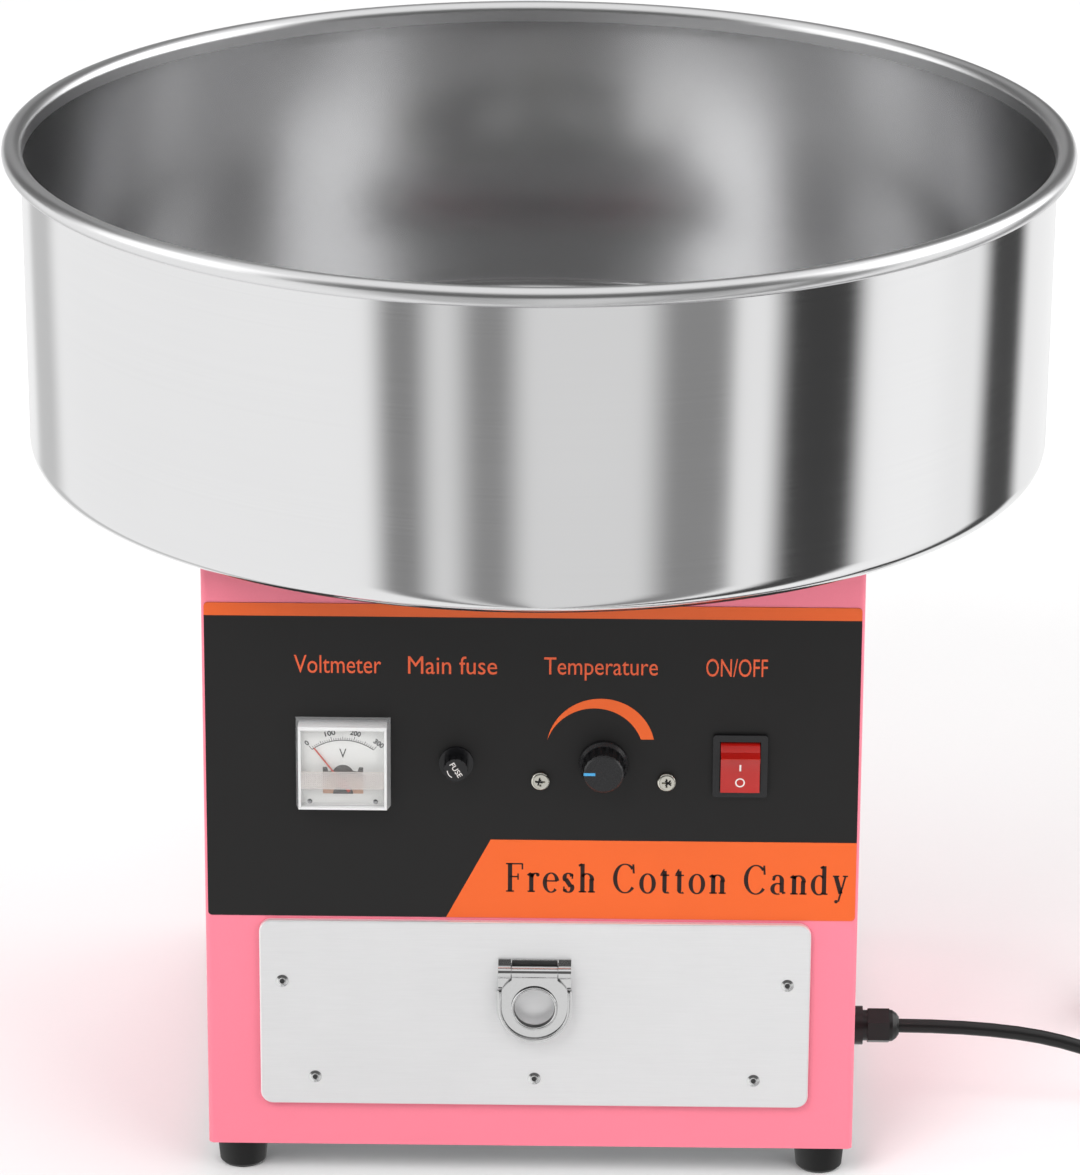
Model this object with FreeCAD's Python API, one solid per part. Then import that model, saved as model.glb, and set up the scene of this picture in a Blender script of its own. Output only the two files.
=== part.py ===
import FreeCAD, Part
import math
import os

os.makedirs("parts", exist_ok=True)

# Cotton candy machine, in millimetres. +Z is up and the front faces -Y.
# The origin is on the ground, under the axis of the bowl and its spinning head.

# ---------------------------------------------------------------- driving dimensions
# Cabinet
BODY_W = 313.0
BODY_D = 313.0
BODY_H = 301.0
BODY_CORNER_R = 3.0
SHEET = 1.2
DECK_T = 1.5
SKIRT_H = 12.0
REAR_FLANGE = 14.0
LOUVRE_W = 78.0
LOUVRE_X = 62.0
LOUVRE_PITCH = 21.0
LOUVRE_COUNT = 9
SCREW_R = 1.9
FLAT_GAP = 0.3
FILM_T = 0.3

# Feet
FOOT_H = 17.0
FOOT_TOP_R = 12.8
FOOT_TIP_R = 11.0
FOOT_INSET_X = 15.5
FOOT_INSET_Y = 18.0
FOOT_SCREW_R = 2.5

# Bowl and its seat
RIM_R = 260.0
BEAD_R = 4.75
BOWL_DEPTH = 159.5
BOWL_SHEET = 1.0
WALL_TOP_R = 251.0
WALL_LOW_R = 249.5
BOWL_CORNER_R = 11.0
SEAT_T = 6.5
SEAT_R = 149.0
SEAT_W = 12.0
HOLE_R = 88.0
HOLE_LIP_H = 7.0
COLLAR_GAP = 0.6
COLLAR_FLANGE = 24.0
COLLAR_RISE = 16.0

# Control panel
OVERLAY_INSET = 1.4
OVERLAY_LOW_Z = 137.6
OVERLAY_TOP_Z = 297.4
ROW_Z = 217.5
METER_X = -89.7
FUSE_X = -36.0
KNOB_X = 34.0
SWITCH_X = 98.8

# Voltmeter
METER_W = 45.0
METER_FACE_W = 42.0
METER_DEPTH = 9.5
METER_WALL = 1.5
METER_BARREL_R = 19.0
METER_BARREL_L = 26.0
METER_STUD_R = 1.6
METER_STUD_REACH = 15.5
METER_DIAL_DEPTH = 4.0
METER_DIAL_T = 1.0
NEEDLE_DROP = 9.3
NEEDLE_L = 22.5
NEEDLE_SWEEP = 37.0

# Fuse holder
FUSE_FLANGE_R = 8.2
FUSE_CAP_R = 5.75
FUSE_CAP_L = 8.8
FUSE_BARREL_R = 6.2
FUSE_BARREL_L = 34.0
FUSE_LINK_R = 2.6
FUSE_LINK_L = 20.0

# Heat regulator
KNOB_SKIRT_R = 11.75
KNOB_TOP_R = 9.5
KNOB_L = 14.0
KNOB_FLUTES = 18
KNOB_FLUTE_R = 1.1
SPINDLE_PIN_R = 3.0
REG_SCREW_SPAN = 60.0
REG_SCREW_DROP = 8.8
REG_BODY = (76.0, 26.0, 44.0)

# Rocker switch
BEZEL_W = 26.0
BEZEL_H = 31.5
BEZEL_T = 2.0
WINDOW_W = 19.4
WINDOW_H = 24.9
ROCKER_TILT = 14.0
ROCKER_PIVOT_DEPTH = 5.6
ROCKER_CORNER = (12.6, 9.85)
ROCKER_END_R = 13.1
SWITCH_DEPTH = 20.0

# Drawer
DRAWER_X = 1.8
DRAWER_FRONT_W = 265.0
DRAWER_LOW_Z = 40.0
DRAWER_TOP_Z = 136.2
DRAWER_PROUD = 3.0
DRAWER_CORNER_R = 6.0
DRAWER_SHEET = 1.0
TRAY_W = 236.0
TRAY_H = 80.0
TRAY_L = 232.0
TRAY_LOW_Z = 47.0
OPENING_MARGIN = 6.5
RIVET_HEAD_R = 3.1
RIVET_R = 1.6

# Drawer pull
PULL_W = 36.2
PULL_NECK_W = 22.0
PULL_LOW_Z = 76.5
PULL_HOLE_R = 9.8
PULL_PIN_Z = 112.5
PULL_SHEET = 1.6
PULL_COLLAR = 3.2
PIN_R = 1.5

# Spindle drive
SHAFT_R = 7.5
RUNNING = 0.05
BEARING_R = 17.5
BEARING_T = 11.0
HOUSING_R = 23.5
HOUSING_FLANGE_R = 48.0
HOUSING_L = 84.0
HOUSING_BOLT_R = 39.0
BOLT_R = 2.5
PULLEY_Z = 167.0
PULLEY_T = 18.0
SPINDLE_PULLEY_R = 28.0
MOTOR_PULLEY_R = 37.0
GROOVE_DEPTH = 9.0
BELT_T = 6.0
BELT_TOP_W = 9.0
BELT_LOW_W = 5.6
BELT_SINK = 1.6
BELT_STEPS = 4
RING_R = 20.0
RING_T = 8.0
RING_PITCH = 16.0
RING_LOW_Z = 194.0
BRUSH_W = 6.0
BRUSH_L = 12.0
BRUSH_LIFT = 0.3

# Motor
MOTOR_R = 46.0
MOTOR_BACK_GAP = 6.5
POST_GAP = 7.74
MOTOR_LOW_Z = 196.0
MOTOR_TOP_Z = 298.0
MOTOR_SHAFT_R = 6.0
MOTOR_SHELL = 3.0
ROTOR_R = 24.0

# Spinning head
HEAD_R = 74.0
HEAD_BASE_Z = 337.0
BAND_H = 27.0
BAND_T = 0.8
BAND_SLOTS = 40
WELL_R = 26.0
HEAD_COVER_T = 1.2
HEATER_RING_R = 55.0
HEATER_TUBE_R = 4.0
POST_R = 65.0
STUD_R = 2.0
NUT_R = 5.5

# Cable gland, on the right-hand wall
GLAND_Y = -90.0
GLAND_Z = 53.0
GLAND_FLANGE_R = 9.6
GLAND_THREAD_R = 7.6
GLAND_HEX_R = 9.2
CORD_D = 7.0
CORD_LENGTH = 1800.0

# The route of the free cord: from the gland's mouth to the coil, and from the coil to the plug.
# Every x of the free cord is measured from the cabinet's right-hand wall.
ROUTE_FROM_WALL = [
    (23.5, -90.0, 53.0),
    (77.5, -90.0, 53.0),
    (133.5, -88.0, 36.5),
    (181.5, -83.5, 9.5),
    (230.4, -79.3, 4.7),
]
TAIL_FROM_WALL = [
    (273.3, -30.0, 11.7),
    (273.3, 3.0, 10.6),
    (258.3, 29.0, 11.2),
    (232.3, 44.0, 15.2),
    (208.5, 44.0, 18.0),
]
COIL_FROM_WALL = 223.5
COIL_Y = -30.0
COIL_LOW_Z = 1.2
COIL_TURN_IN_R = 28.2
COIL_TURN_OUT_R = 49.8
COIL_LAYERS = 2

# Plug
PLUG_FROM_WALL = 147.5
PLUG_Y = 44.0
PLUG_HEAD_R = 18.0
PLUG_L = 36.0
PLUG_RELIEF_L = 26.0
PLUG_PIN_R = 2.4
PLUG_PIN_L = 19.0
PLUG_PIN_SPAN = 19.0

# ---------------------------------------------------------------- derived places
DECK_TOP = FOOT_H + BODY_H
DECK_LOW = DECK_TOP - DECK_T
FRONT_Y = -BODY_D / 2
BACK_Y = BODY_D / 2
SIDE_X = BODY_W / 2
INNER_X = SIDE_X - SHEET
CORD_ROUTE = [(SIDE_X + x, y, z) for x, y, z in ROUTE_FROM_WALL]
TAIL_ROUTE = [(SIDE_X + x, y, z) for x, y, z in TAIL_FROM_WALL]
COIL_X = SIDE_X + COIL_FROM_WALL
PLUG_X = SIDE_X + PLUG_FROM_WALL
MOTOR_Y = BACK_Y - MOTOR_R - MOTOR_BACK_GAP
POST_SPAN = math.sqrt(2) * (MOTOR_R + POST_GAP)
INNER_FRONT_Y = FRONT_Y + SHEET
PANEL_OUT_Y = BACK_Y - SHEET
PANEL_IN_Y = PANEL_OUT_Y - SHEET
FLOOR_TOP = FOOT_H + SHEET
BOWL_LOW = DECK_TOP + SEAT_T
RIM_Z = BOWL_LOW + BOWL_DEPTH
FILM_Y = FRONT_Y - FILM_T
HOUSING_LOW = DECK_LOW - HOUSING_L
FACE_Y = FRONT_Y - FLAT_GAP - DRAWER_PROUD
FACE_BACK_Y = FACE_Y + DRAWER_SHEET
FLANGE_BACK_Y = FACE_BACK_Y + DRAWER_SHEET
DRAWER_MID_Z = (DRAWER_LOW_Z + DRAWER_TOP_Z) / 2
PULL_PIN_Y = FACE_Y - 4.6
HEAD_COVER_Z = HEAD_BASE_Z + 3.0 + BAND_H
CAP_FACE_Y = FILM_Y - 1.6
HOLDER_IN_X = RING_R + 4.0
HOLDER_OUT_X = HOUSING_FLANGE_R + 6.0
X_AXIS = FreeCAD.Vector(1, 0, 0)
Y_AXIS = FreeCAD.Vector(0, 1, 0)
Z_AXIS = FreeCAD.Vector(0, 0, 1)


# ---------------------------------------------------------------- shape helpers
def vec(x, y, z):
    return FreeCAD.Vector(x, y, z)


def box(x0, x1, y0, y1, z0, z1):
    return Part.makeBox(x1 - x0, y1 - y0, z1 - z0, vec(x0, y0, z0))


def rod(r, a, b, axis, at):
    """A cylinder along axis from a to b; at gives its other two coordinates."""
    if axis == "x":
        return Part.makeCylinder(r, b - a, vec(a, at[0], at[1]), X_AXIS)
    if axis == "y":
        return Part.makeCylinder(r, b - a, vec(at[0], a, at[1]), Y_AXIS)
    return Part.makeCylinder(r, b - a, vec(at[0], at[1], a), Z_AXIS)


def ring(r_out, r_in, a, b, axis="z", at=(0.0, 0.0)):
    return rod(r_out, a, b, axis, at).cut(rod(r_in, a - 1, b + 1, axis, at))


def spun(points, at=(0.0, 0.0)):
    """A closed outline of (radius, z) points, turned about a vertical axis."""
    loop = [vec(at[0] + r, at[1], z) for r, z in points]
    face = Part.Face(Part.makePolygon(loop + loop[:1]))
    return face.revolve(vec(at[0], at[1], 0), Z_AXIS, 360)


def spun_y(points, x, z):
    """A closed outline of (radius, y) points, turned about an axis along Y."""
    loop = [vec(x + r, y, z) for r, y in points]
    face = Part.Face(Part.makePolygon(loop + loop[:1]))
    return face.revolve(vec(x, 0, z), Y_AXIS, 360)


def round_slab(x0, x1, y0, y1, z0, z1, r):
    """A slab with its four vertical edges rounded."""
    slab = box(x0, x1, y0, y1, z0, z1)
    upright = [e for e in slab.Edges if abs(e.tangentAt(e.FirstParameter).z) > 0.9]
    return slab.makeFillet(r, upright)


def round_panel(x0, x1, y0, y1, z0, z1, r):
    """A panel facing Y with its four corners rounded."""
    slab = box(x0, x1, y0, y1, z0, z1)
    across = [e for e in slab.Edges if abs(e.tangentAt(e.FirstParameter).y) > 0.9]
    return slab.makeFillet(r, across)


def hexagon(r, a, b, axis, at):
    """A hexagonal prism of corner radius r along axis."""
    loop = []
    for i in range(7):
        u = r * math.cos(math.radians(60 * i + 30))
        v = r * math.sin(math.radians(60 * i + 30))
        if axis == "x":
            loop.append(vec(a, at[0] + u, at[1] + v))
        else:
            loop.append(vec(at[0] + u, at[1] + v, a))
    step = vec(b - a, 0, 0) if axis == "x" else vec(0, 0, b - a)
    return Part.Face(Part.makePolygon(loop)).extrude(step)


def turned(shape, at, axis, degrees):
    copy = shape.copy()
    copy.rotate(at, axis, degrees)
    return copy


def joined(shapes):
    body = shapes[0]
    for shape in shapes[1:]:
        body = body.fuse(shape)
    return body.removeSplitter()


def less(shape, cutters):
    for cutter in cutters:
        shape = shape.cut(cutter)
    return shape


def around(shape, count, first=0.0, centre=(0.0, 0.0)):
    """Copies of a shape set evenly round a vertical axis."""
    at = vec(centre[0], centre[1], 0)
    return [turned(shape, at, Z_AXIS, first + i * 360.0 / count) for i in range(count)]


def pan_screw(head_r, head_h, shank_r, length):
    """A cross-head screw: its head stands on z = 0 and its shank runs down."""
    head = rod(head_r, 0, head_h, "z", (0, 0))
    head = head.makeFillet(head_h * 0.6, [head.Edges[0]])
    slot = box(-head_r * 0.5, head_r * 0.5, -head_r * 0.1, head_r * 0.1, head_h * 0.4, head_h + 1)
    cross = slot.fuse(turned(slot, vec(0, 0, 0), Z_AXIS, 90))
    shank = rod(shank_r, -length, 0.2, "z", (0, 0))
    return joined([head.cut(cross), shank])


def facing(shape, direction, at):
    """A screw made upright, turned to face a direction and moved to its place."""
    copy = shape.copy()
    origin = vec(0, 0, 0)
    turn = {
        "-y": (X_AXIS, 90), "+y": (X_AXIS, -90), "+x": (Y_AXIS, 90), "-x": (Y_AXIS, -90),
        "-z": (X_AXIS, 180),
    }
    if direction in turn:
        copy.rotate(origin, turn[direction][0], turn[direction][1])
    copy.translate(vec(*at))
    return copy


def save(name, solids):
    """Writes one node; a list of solids is kept as separate solids."""
    if isinstance(solids, list):
        shape = Part.makeCompound([s for item in solids for s in item.Solids])
    else:
        shape = solids if len(solids.Solids) != 1 else solids.Solids[0]
    shape.exportStep(f"parts/{name}.step")
    volume = sum(s.Volume for s in shape.Solids)
    print(f"{name}: {len(shape.Solids)} solid(s), {volume / 1000:.2f} cm3, valid {shape.isValid()}")


# ---------------------------------------------------------------- cabinet
def meter_stud_places():
    return [(METER_X + s * METER_STUD_REACH, ROW_Z - METER_STUD_REACH) for s in (-1, 1)]


def meter_holes(y0, y1):
    studs = [rod(METER_STUD_R + 0.4, y0, y1, "y", place) for place in meter_stud_places()]
    return [rod(METER_BARREL_R + 0.3, y0, y1, "y", (METER_X, ROW_Z))] + studs


def panel_holes(y0, y1):
    """Everything that passes through the front sheet and its overlay, but the drawer."""
    half_w = BEZEL_W / 2 - 1.9
    half_h = BEZEL_H / 2 - 1.25
    holes = meter_holes(y0, y1)
    holes.append(rod(FUSE_BARREL_R, y0, y1, "y", (FUSE_X, ROW_Z)))
    holes.append(rod(SPINDLE_PIN_R + 0.7, y0, y1, "y", (KNOB_X, ROW_Z)))
    for x, z in regulator_screw_places():
        holes.append(rod(SCREW_R + 0.2, y0, y1, "y", (x, z)))
    holes.append(
        box(SWITCH_X - half_w, SWITCH_X + half_w, y0, y1, ROW_Z - half_h, ROW_Z + half_h)
    )
    return holes


def drawer_opening(y0, y1):
    half = DRAWER_FRONT_W / 2 - OPENING_MARGIN
    low = DRAWER_LOW_Z + OPENING_MARGIN / 2
    top = DRAWER_TOP_Z - OPENING_MARGIN / 2
    return round_panel(DRAWER_X - half, DRAWER_X + half, y0, y1, low, top, 4.0)


def cabinet_screw_places():
    """Each screw's direction and seat: rear flanges, both sides of the deck's skirt, collar."""
    places = []
    for x in (-SIDE_X + SHEET + 6.5, SIDE_X - SHEET - 6.5):
        for i in range(4):
            z = FOOT_H + 24.0 + i * (BODY_H - 56.0) / 3
            places.append(("+y", (x, BACK_Y, z)))
    for side in (-1, 1):
        for y in (-BODY_D * 0.3, BODY_D * 0.3):
            places.append(("+x" if side > 0 else "-x", (side * SIDE_X, y, DECK_LOW - SKIRT_H / 2)))
    r = HOLE_R - COLLAR_FLANGE / 2 - COLLAR_GAP
    for x, y in ((r, 0), (0, r), (-r, 0), (0, -r)):
        places.append(("+z", (x, y, DECK_TOP + SHEET)))
    return places


def front_bends(shape):
    """The upright edges at the cabinet's two inner front corners."""
    bends = []
    for e in shape.Edges:
        upright = abs(e.tangentAt(e.FirstParameter).z) > 0.9
        at_side = abs(abs(e.CenterOfMass.x) - INNER_X) < 0.01
        if upright and at_side and abs(e.CenterOfMass.y - INNER_FRONT_Y) < 0.01:
            bends.append(e)
    return bends


def make_cabinet_shell():
    outer = round_slab(-SIDE_X, SIDE_X, FRONT_Y, BACK_Y, FOOT_H, DECK_LOW, BODY_CORNER_R)
    inner = box(-INNER_X, INNER_X, INNER_FRONT_Y, PANEL_OUT_Y, FOOT_H - 1, DECK_LOW + 1)
    inner = inner.makeFillet(BODY_CORNER_R - SHEET, front_bends(inner))
    back = INNER_X - REAR_FLANGE
    shell = less(outer, [inner, box(-back, back, BACK_Y - 5, BACK_Y + 1, FOOT_H - 1, DECK_LOW + 1)])
    shell = less(shell, panel_holes(FRONT_Y - 1, INNER_FRONT_Y + 1))
    shell = shell.cut(drawer_opening(FRONT_Y - 1, INNER_FRONT_Y + 1))
    shell = shell.cut(rod(GLAND_THREAD_R, INNER_X - 1, SIDE_X + 1, "x", (GLAND_Y, GLAND_Z)))
    for direction, (x, y, z) in cabinet_screw_places():
        if direction == "+y":
            shell = shell.cut(rod(SCREW_R + 0.1, y - 2, y + 1, "y", (x, z)))
        elif direction in ("+x", "-x"):
            x0, x1 = sorted((math.copysign(INNER_X - 1, x), math.copysign(SIDE_X + 1, x)))
            shell = shell.cut(rod(SCREW_R + 0.1, x0, x1, "x", (y, z)))
    save("cabinet_shell", shell)


def make_control_overlay():
    half = SIDE_X - OVERLAY_INSET
    film = round_panel(-half, half, FILM_Y, FRONT_Y, OVERLAY_LOW_Z, OVERLAY_TOP_Z, 2.0)
    save("control_overlay", less(film, panel_holes(FILM_Y - 1, FRONT_Y + 1)))


def make_top_deck():
    deck = round_slab(-SIDE_X, SIDE_X, FRONT_Y, BACK_Y, DECK_LOW, DECK_TOP, BODY_CORNER_R)
    low = DECK_LOW - SKIRT_H
    reach = INNER_X - REAR_FLANGE - 4
    parts = [deck]
    for side in (-1, 1):
        x0, x1 = sorted((side * INNER_X, side * (INNER_X - DECK_T)))
        parts.append(box(x0, x1, -BODY_D * 0.4, BODY_D * 0.4, low, DECK_LOW))
    parts.append(box(-reach, reach, INNER_FRONT_Y, INNER_FRONT_Y + DECK_T, low, DECK_LOW))
    parts.append(box(-reach, reach, PANEL_IN_Y - DECK_T, PANEL_IN_Y, low, DECK_LOW))
    deck = joined(parts)
    deck = deck.cut(rod(SHAFT_R + 12, low, DECK_TOP + 1, "z", (0, 0)))
    hole_r = BOLT_R + 0.1
    deck = less(deck, around(rod(hole_r, DECK_LOW - 1, DECK_TOP + 1, "z", (HOUSING_BOLT_R, 0)), 4, 45))
    for x, y in motor_post_places():
        deck = deck.cut(rod(hole_r, DECK_LOW - 1, DECK_TOP + 1, "z", (x, y)))
    for direction, (x, y, z) in cabinet_screw_places():
        if direction == "+z":
            deck = deck.cut(rod(SCREW_R, DECK_LOW - 1, DECK_TOP + 1, "z", (x, y)))
        elif direction in ("+x", "-x"):
            side = math.copysign(1.0, x)
            x0, x1 = sorted((side * (INNER_X - 5), side * (INNER_X + 0.5)))
            deck = deck.cut(rod(SCREW_R, x0, x1, "x", (y, z)))
    save("top_deck", deck)


def louvre_places():
    """The middle of each louvre's slot: two columns, one above the other."""
    low = FOOT_H + 68.0
    return [(x, low + i * LOUVRE_PITCH) for x in (-LOUVRE_X, LOUVRE_X) for i in range(LOUVRE_COUNT)]


def make_rear_panel():
    """The removable back, with air slots under pressed hoods."""
    y0, y1 = PANEL_IN_Y, PANEL_OUT_Y
    panel = box(-INNER_X, INNER_X, y0, y1, FOOT_H, DECK_LOW)
    half = LOUVRE_W / 2
    hood = [(y1 - 0.2, 0.0), (y1 + 3.6, -5.0), (y1 + 3.0, -5.6), (y1 - 0.2, -1.4)]
    hoods = []
    for x, z in louvre_places():
        panel = panel.cut(box(x - half, x + half, y0 - 1, y1 + 1, z - 6.0, z - 1.2))
        loop = [vec(x - half - 2, y, z + dz) for y, dz in hood]
        face = Part.Face(Part.makePolygon(loop + loop[:1]))
        hoods.append(face.extrude(vec(LOUVRE_W + 4, 0, 0)))
    panel = joined([panel] + hoods)
    for direction, (x, y, z) in cabinet_screw_places():
        if direction == "+y":
            panel = panel.cut(rod(SCREW_R, y0 - 1, y1 + 1, "y", (x, z)))
    save("rear_panel", panel)


def foot_places():
    x = SIDE_X - FOOT_INSET_X
    y = BODY_D / 2 - FOOT_INSET_Y
    return [(-x, -y), (x, -y), (-x, y), (x, y)]


def make_base_plate():
    tray = box(-INNER_X, INNER_X, INNER_FRONT_Y, PANEL_IN_Y, FOOT_H, FOOT_H + SKIRT_H)
    hollow = box(
        -INNER_X + SHEET, INNER_X - SHEET, INNER_FRONT_Y + SHEET, PANEL_IN_Y + 1,
        FLOOR_TOP, FOOT_H + SKIRT_H + 1,
    )
    tray = tray.cut(hollow)
    tray = tray.makeFillet(BODY_CORNER_R - SHEET, front_bends(tray))
    for x, y in foot_places():
        tray = tray.cut(rod(FOOT_SCREW_R, FOOT_H - 1, FLOOR_TOP + 1, "z", (x, y)))
    for i in range(9):
        x = -48.0 + 12.0 * i
        tray = tray.cut(box(x - 2, x + 2, -30, 30, FOOT_H - 1, FLOOR_TOP + 1))
    save("base_plate", tray)


def make_cabinet_screws():
    screw = pan_screw(3.6, 2.4, SCREW_R, 6.0)
    save("cabinet_screws", [facing(screw, d, at) for d, at in cabinet_screw_places()])


def make_feet():
    well_r = FOOT_SCREW_R + 3.4
    outline = [
        (FOOT_SCREW_R, FOOT_H), (FOOT_TOP_R, FOOT_H), (FOOT_TIP_R + 0.3, 1.6),
        (FOOT_TIP_R - 1.2, 0), (well_r, 0), (well_r, 6.0), (FOOT_SCREW_R, 6.0),
    ]
    feet = [spun(outline, at) for at in foot_places()]
    save("feet", feet)


def make_foot_fasteners():
    screw = pan_screw(FOOT_SCREW_R + 2.4, 2.8, FOOT_SCREW_R, FOOT_H - 6.0 + SHEET + 6.0)
    nut = hexagon(4.6, 0, 3.6, "z", (0, 0)).cut(rod(FOOT_SCREW_R, -1, 5, "z", (0, 0)))
    pieces = []
    for x, y in foot_places():
        pieces.append(facing(screw, "-z", (x, y, 6.0)))
        pieces.append(facing(nut, "+z", (x, y, FLOOR_TOP)))
    save("foot_fasteners", pieces)


# ---------------------------------------------------------------- bowl
def make_bowl():
    """A spun bowl: its wall turns out into a hollow rolled bead at the rim."""
    corner_z = BOWL_LOW + BOWL_CORNER_R
    bead_r = RIM_R - BEAD_R
    bead_z = RIM_Z - BEAD_R
    inner_corner = BOWL_CORNER_R - BOWL_SHEET
    half = math.sqrt(0.5)
    out_c = WALL_LOW_R - BOWL_CORNER_R
    rim_in = WALL_TOP_R - BOWL_SHEET

    def at(r, z):
        return vec(r, 0, z)

    floor_z = BOWL_LOW + BOWL_SHEET
    lip_r = HOLE_R + BOWL_SHEET
    lip_z = BOWL_LOW + HOLE_LIP_H
    lines = [
        Part.LineSegment(at(HOLE_R, BOWL_LOW), at(out_c, BOWL_LOW)),
        Part.Arc(
            at(out_c, BOWL_LOW),
            at(out_c + BOWL_CORNER_R * half, corner_z - BOWL_CORNER_R * half),
            at(WALL_LOW_R, corner_z),
        ),
        Part.LineSegment(at(WALL_LOW_R, corner_z), at(WALL_TOP_R, bead_z)),
        Part.LineSegment(at(WALL_TOP_R, bead_z), at(rim_in, bead_z)),
        Part.LineSegment(at(rim_in, bead_z), at(WALL_LOW_R - BOWL_SHEET, corner_z)),
        Part.Arc(
            at(WALL_LOW_R - BOWL_SHEET, corner_z),
            at(out_c + inner_corner * half, corner_z - inner_corner * half),
            at(out_c, floor_z),
        ),
        Part.LineSegment(at(out_c, floor_z), at(lip_r, floor_z)),
        Part.LineSegment(at(lip_r, floor_z), at(lip_r, lip_z)),
        Part.LineSegment(at(lip_r, lip_z), at(HOLE_R, lip_z)),
        Part.LineSegment(at(HOLE_R, lip_z), at(HOLE_R, BOWL_LOW)),
    ]
    face = Part.Face(Part.Wire([line.toShape() for line in lines]))
    wall = face.revolve(vec(0, 0, 0), Z_AXIS, 360)
    bead = Part.makeTorus(bead_r, BEAD_R, vec(0, 0, bead_z))
    hollow = Part.makeTorus(bead_r, BEAD_R - BOWL_SHEET, vec(0, 0, bead_z))
    curl_gap = ring(WALL_TOP_R + 2.6, WALL_TOP_R + 1.6, RIM_Z - 2 * BEAD_R - 1, bead_z)
    save("bowl", joined([wall, bead]).cut(hollow).cut(curl_gap))


def make_bowl_seat():
    save("bowl_seat", ring(SEAT_R, SEAT_R - SEAT_W, DECK_TOP, BOWL_LOW))


def make_bowl_collar():
    out = HOLE_R - COLLAR_GAP
    step = HOLE_R - COLLAR_FLANGE
    outline = [
        (step, DECK_TOP), (out, DECK_TOP), (out, DECK_TOP + COLLAR_RISE),
        (out - SHEET, DECK_TOP + COLLAR_RISE), (out - SHEET, DECK_TOP + SHEET), (step, DECK_TOP + SHEET),
    ]
    collar = spun(outline)
    for direction, (x, y, z) in cabinet_screw_places():
        if direction == "+z":
            collar = collar.cut(rod(SCREW_R, DECK_TOP - 1, z + 1, "z", (x, y)))
    save("bowl_collar", collar)


# ---------------------------------------------------------------- spindle drive
def make_spindle_housing():
    seat = BEARING_R
    low = HOUSING_LOW
    outline = [
        (seat, low), (HOUSING_R, low), (HOUSING_R, DECK_LOW - 8), (HOUSING_FLANGE_R, DECK_LOW - 8),
        (HOUSING_FLANGE_R, DECK_LOW), (seat, DECK_LOW), (seat, DECK_LOW - 4 - BEARING_T),
        (seat - 3, DECK_LOW - 4 - BEARING_T), (seat - 3, low + 2 + BEARING_T), (seat, low + 2 + BEARING_T),
    ]
    housing = spun(outline)
    holes = around(rod(BOLT_R + 0.1, DECK_LOW - 9, DECK_LOW + 1, "z", (HOUSING_BOLT_R, 0)), 4, 45)
    rib = box(HOUSING_R - 1, HOUSING_BOLT_R - 7, -2, 2, DECK_LOW - 40, DECK_LOW - 7.5)
    housing = joined([housing] + around(rib, 4))
    save("spindle_housing", less(housing, holes))


def bearing_places():
    return [HOUSING_LOW + 2, DECK_LOW - 4 - BEARING_T]


def make_spindle_bearings():
    """Two ball bearings, each of an outer ring, an inner ring and its balls."""
    inner = SHAFT_R + RUNNING
    ball_r = 3.2
    mid = (BEARING_R + inner) / 2
    pieces = []
    for z in bearing_places():
        groove = Part.makeTorus(mid, ball_r + 0.1, vec(0, 0, z + BEARING_T / 2))
        pieces.append(ring(BEARING_R, mid + 1.6, z, z + BEARING_T).cut(groove))
        pieces.append(ring(mid - 1.6, inner, z, z + BEARING_T).cut(groove))
        ball = Part.makeSphere(ball_r, vec(mid, 0, z + BEARING_T / 2))
        pieces.extend(around(ball, 8))
    save("spindle_bearings", pieces)


def make_spindle_shaft():
    low = PULLEY_Z - PULLEY_T / 2 - 12
    top = HEAD_BASE_Z + 12
    shaft = rod(SHAFT_R, low, top, "z", (0, 0))
    shoulder = rod(SHAFT_R + 2.5, DECK_LOW - 4 + FLAT_GAP, DECK_TOP + 4, "z", (0, 0))
    rest = rod(SHAFT_R + 4, HEAD_BASE_Z - 15, HEAD_BASE_Z - 11, "z", (0, 0))
    bore = rod(3.0, RING_LOW_Z - 6, top + 1, "z", (0, 0))
    windows = box(-1.5, SHAFT_R + 1, -1.5, 1.5, RING_LOW_Z - 4, RING_LOW_Z)
    save("spindle_shaft", less(joined([shaft, shoulder, rest]), [bore, windows]))


def vee_pulley(r, low_bore, z, at):
    """A pulley with one vee groove: GROOVE_DEPTH deep."""
    half = PULLEY_T / 2
    wide = BELT_TOP_W / 2 + 0.9
    narrow = BELT_LOW_W / 2 + 0.35
    outline = [
        (low_bore, z - half), (r, z - half), (r, z - wide), (r - GROOVE_DEPTH, z - narrow),
        (r - GROOVE_DEPTH, z + narrow), (r, z + wide), (r, z + half), (low_bore, z + half),
    ]
    return spun(outline, at)


def make_pulleys():
    save("spindle_pulley", vee_pulley(SPINDLE_PULLEY_R, SHAFT_R, PULLEY_Z, (0, 0)))
    motor = vee_pulley(MOTOR_PULLEY_R, MOTOR_SHAFT_R, PULLEY_Z, (0, MOTOR_Y))
    hole = rod(5.0, PULLEY_Z - PULLEY_T, PULLEY_Z + PULLEY_T, "z", (16.5, MOTOR_Y))
    save("motor_pulley", less(motor, around(hole, 6, 0, (0, MOTOR_Y))))


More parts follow.
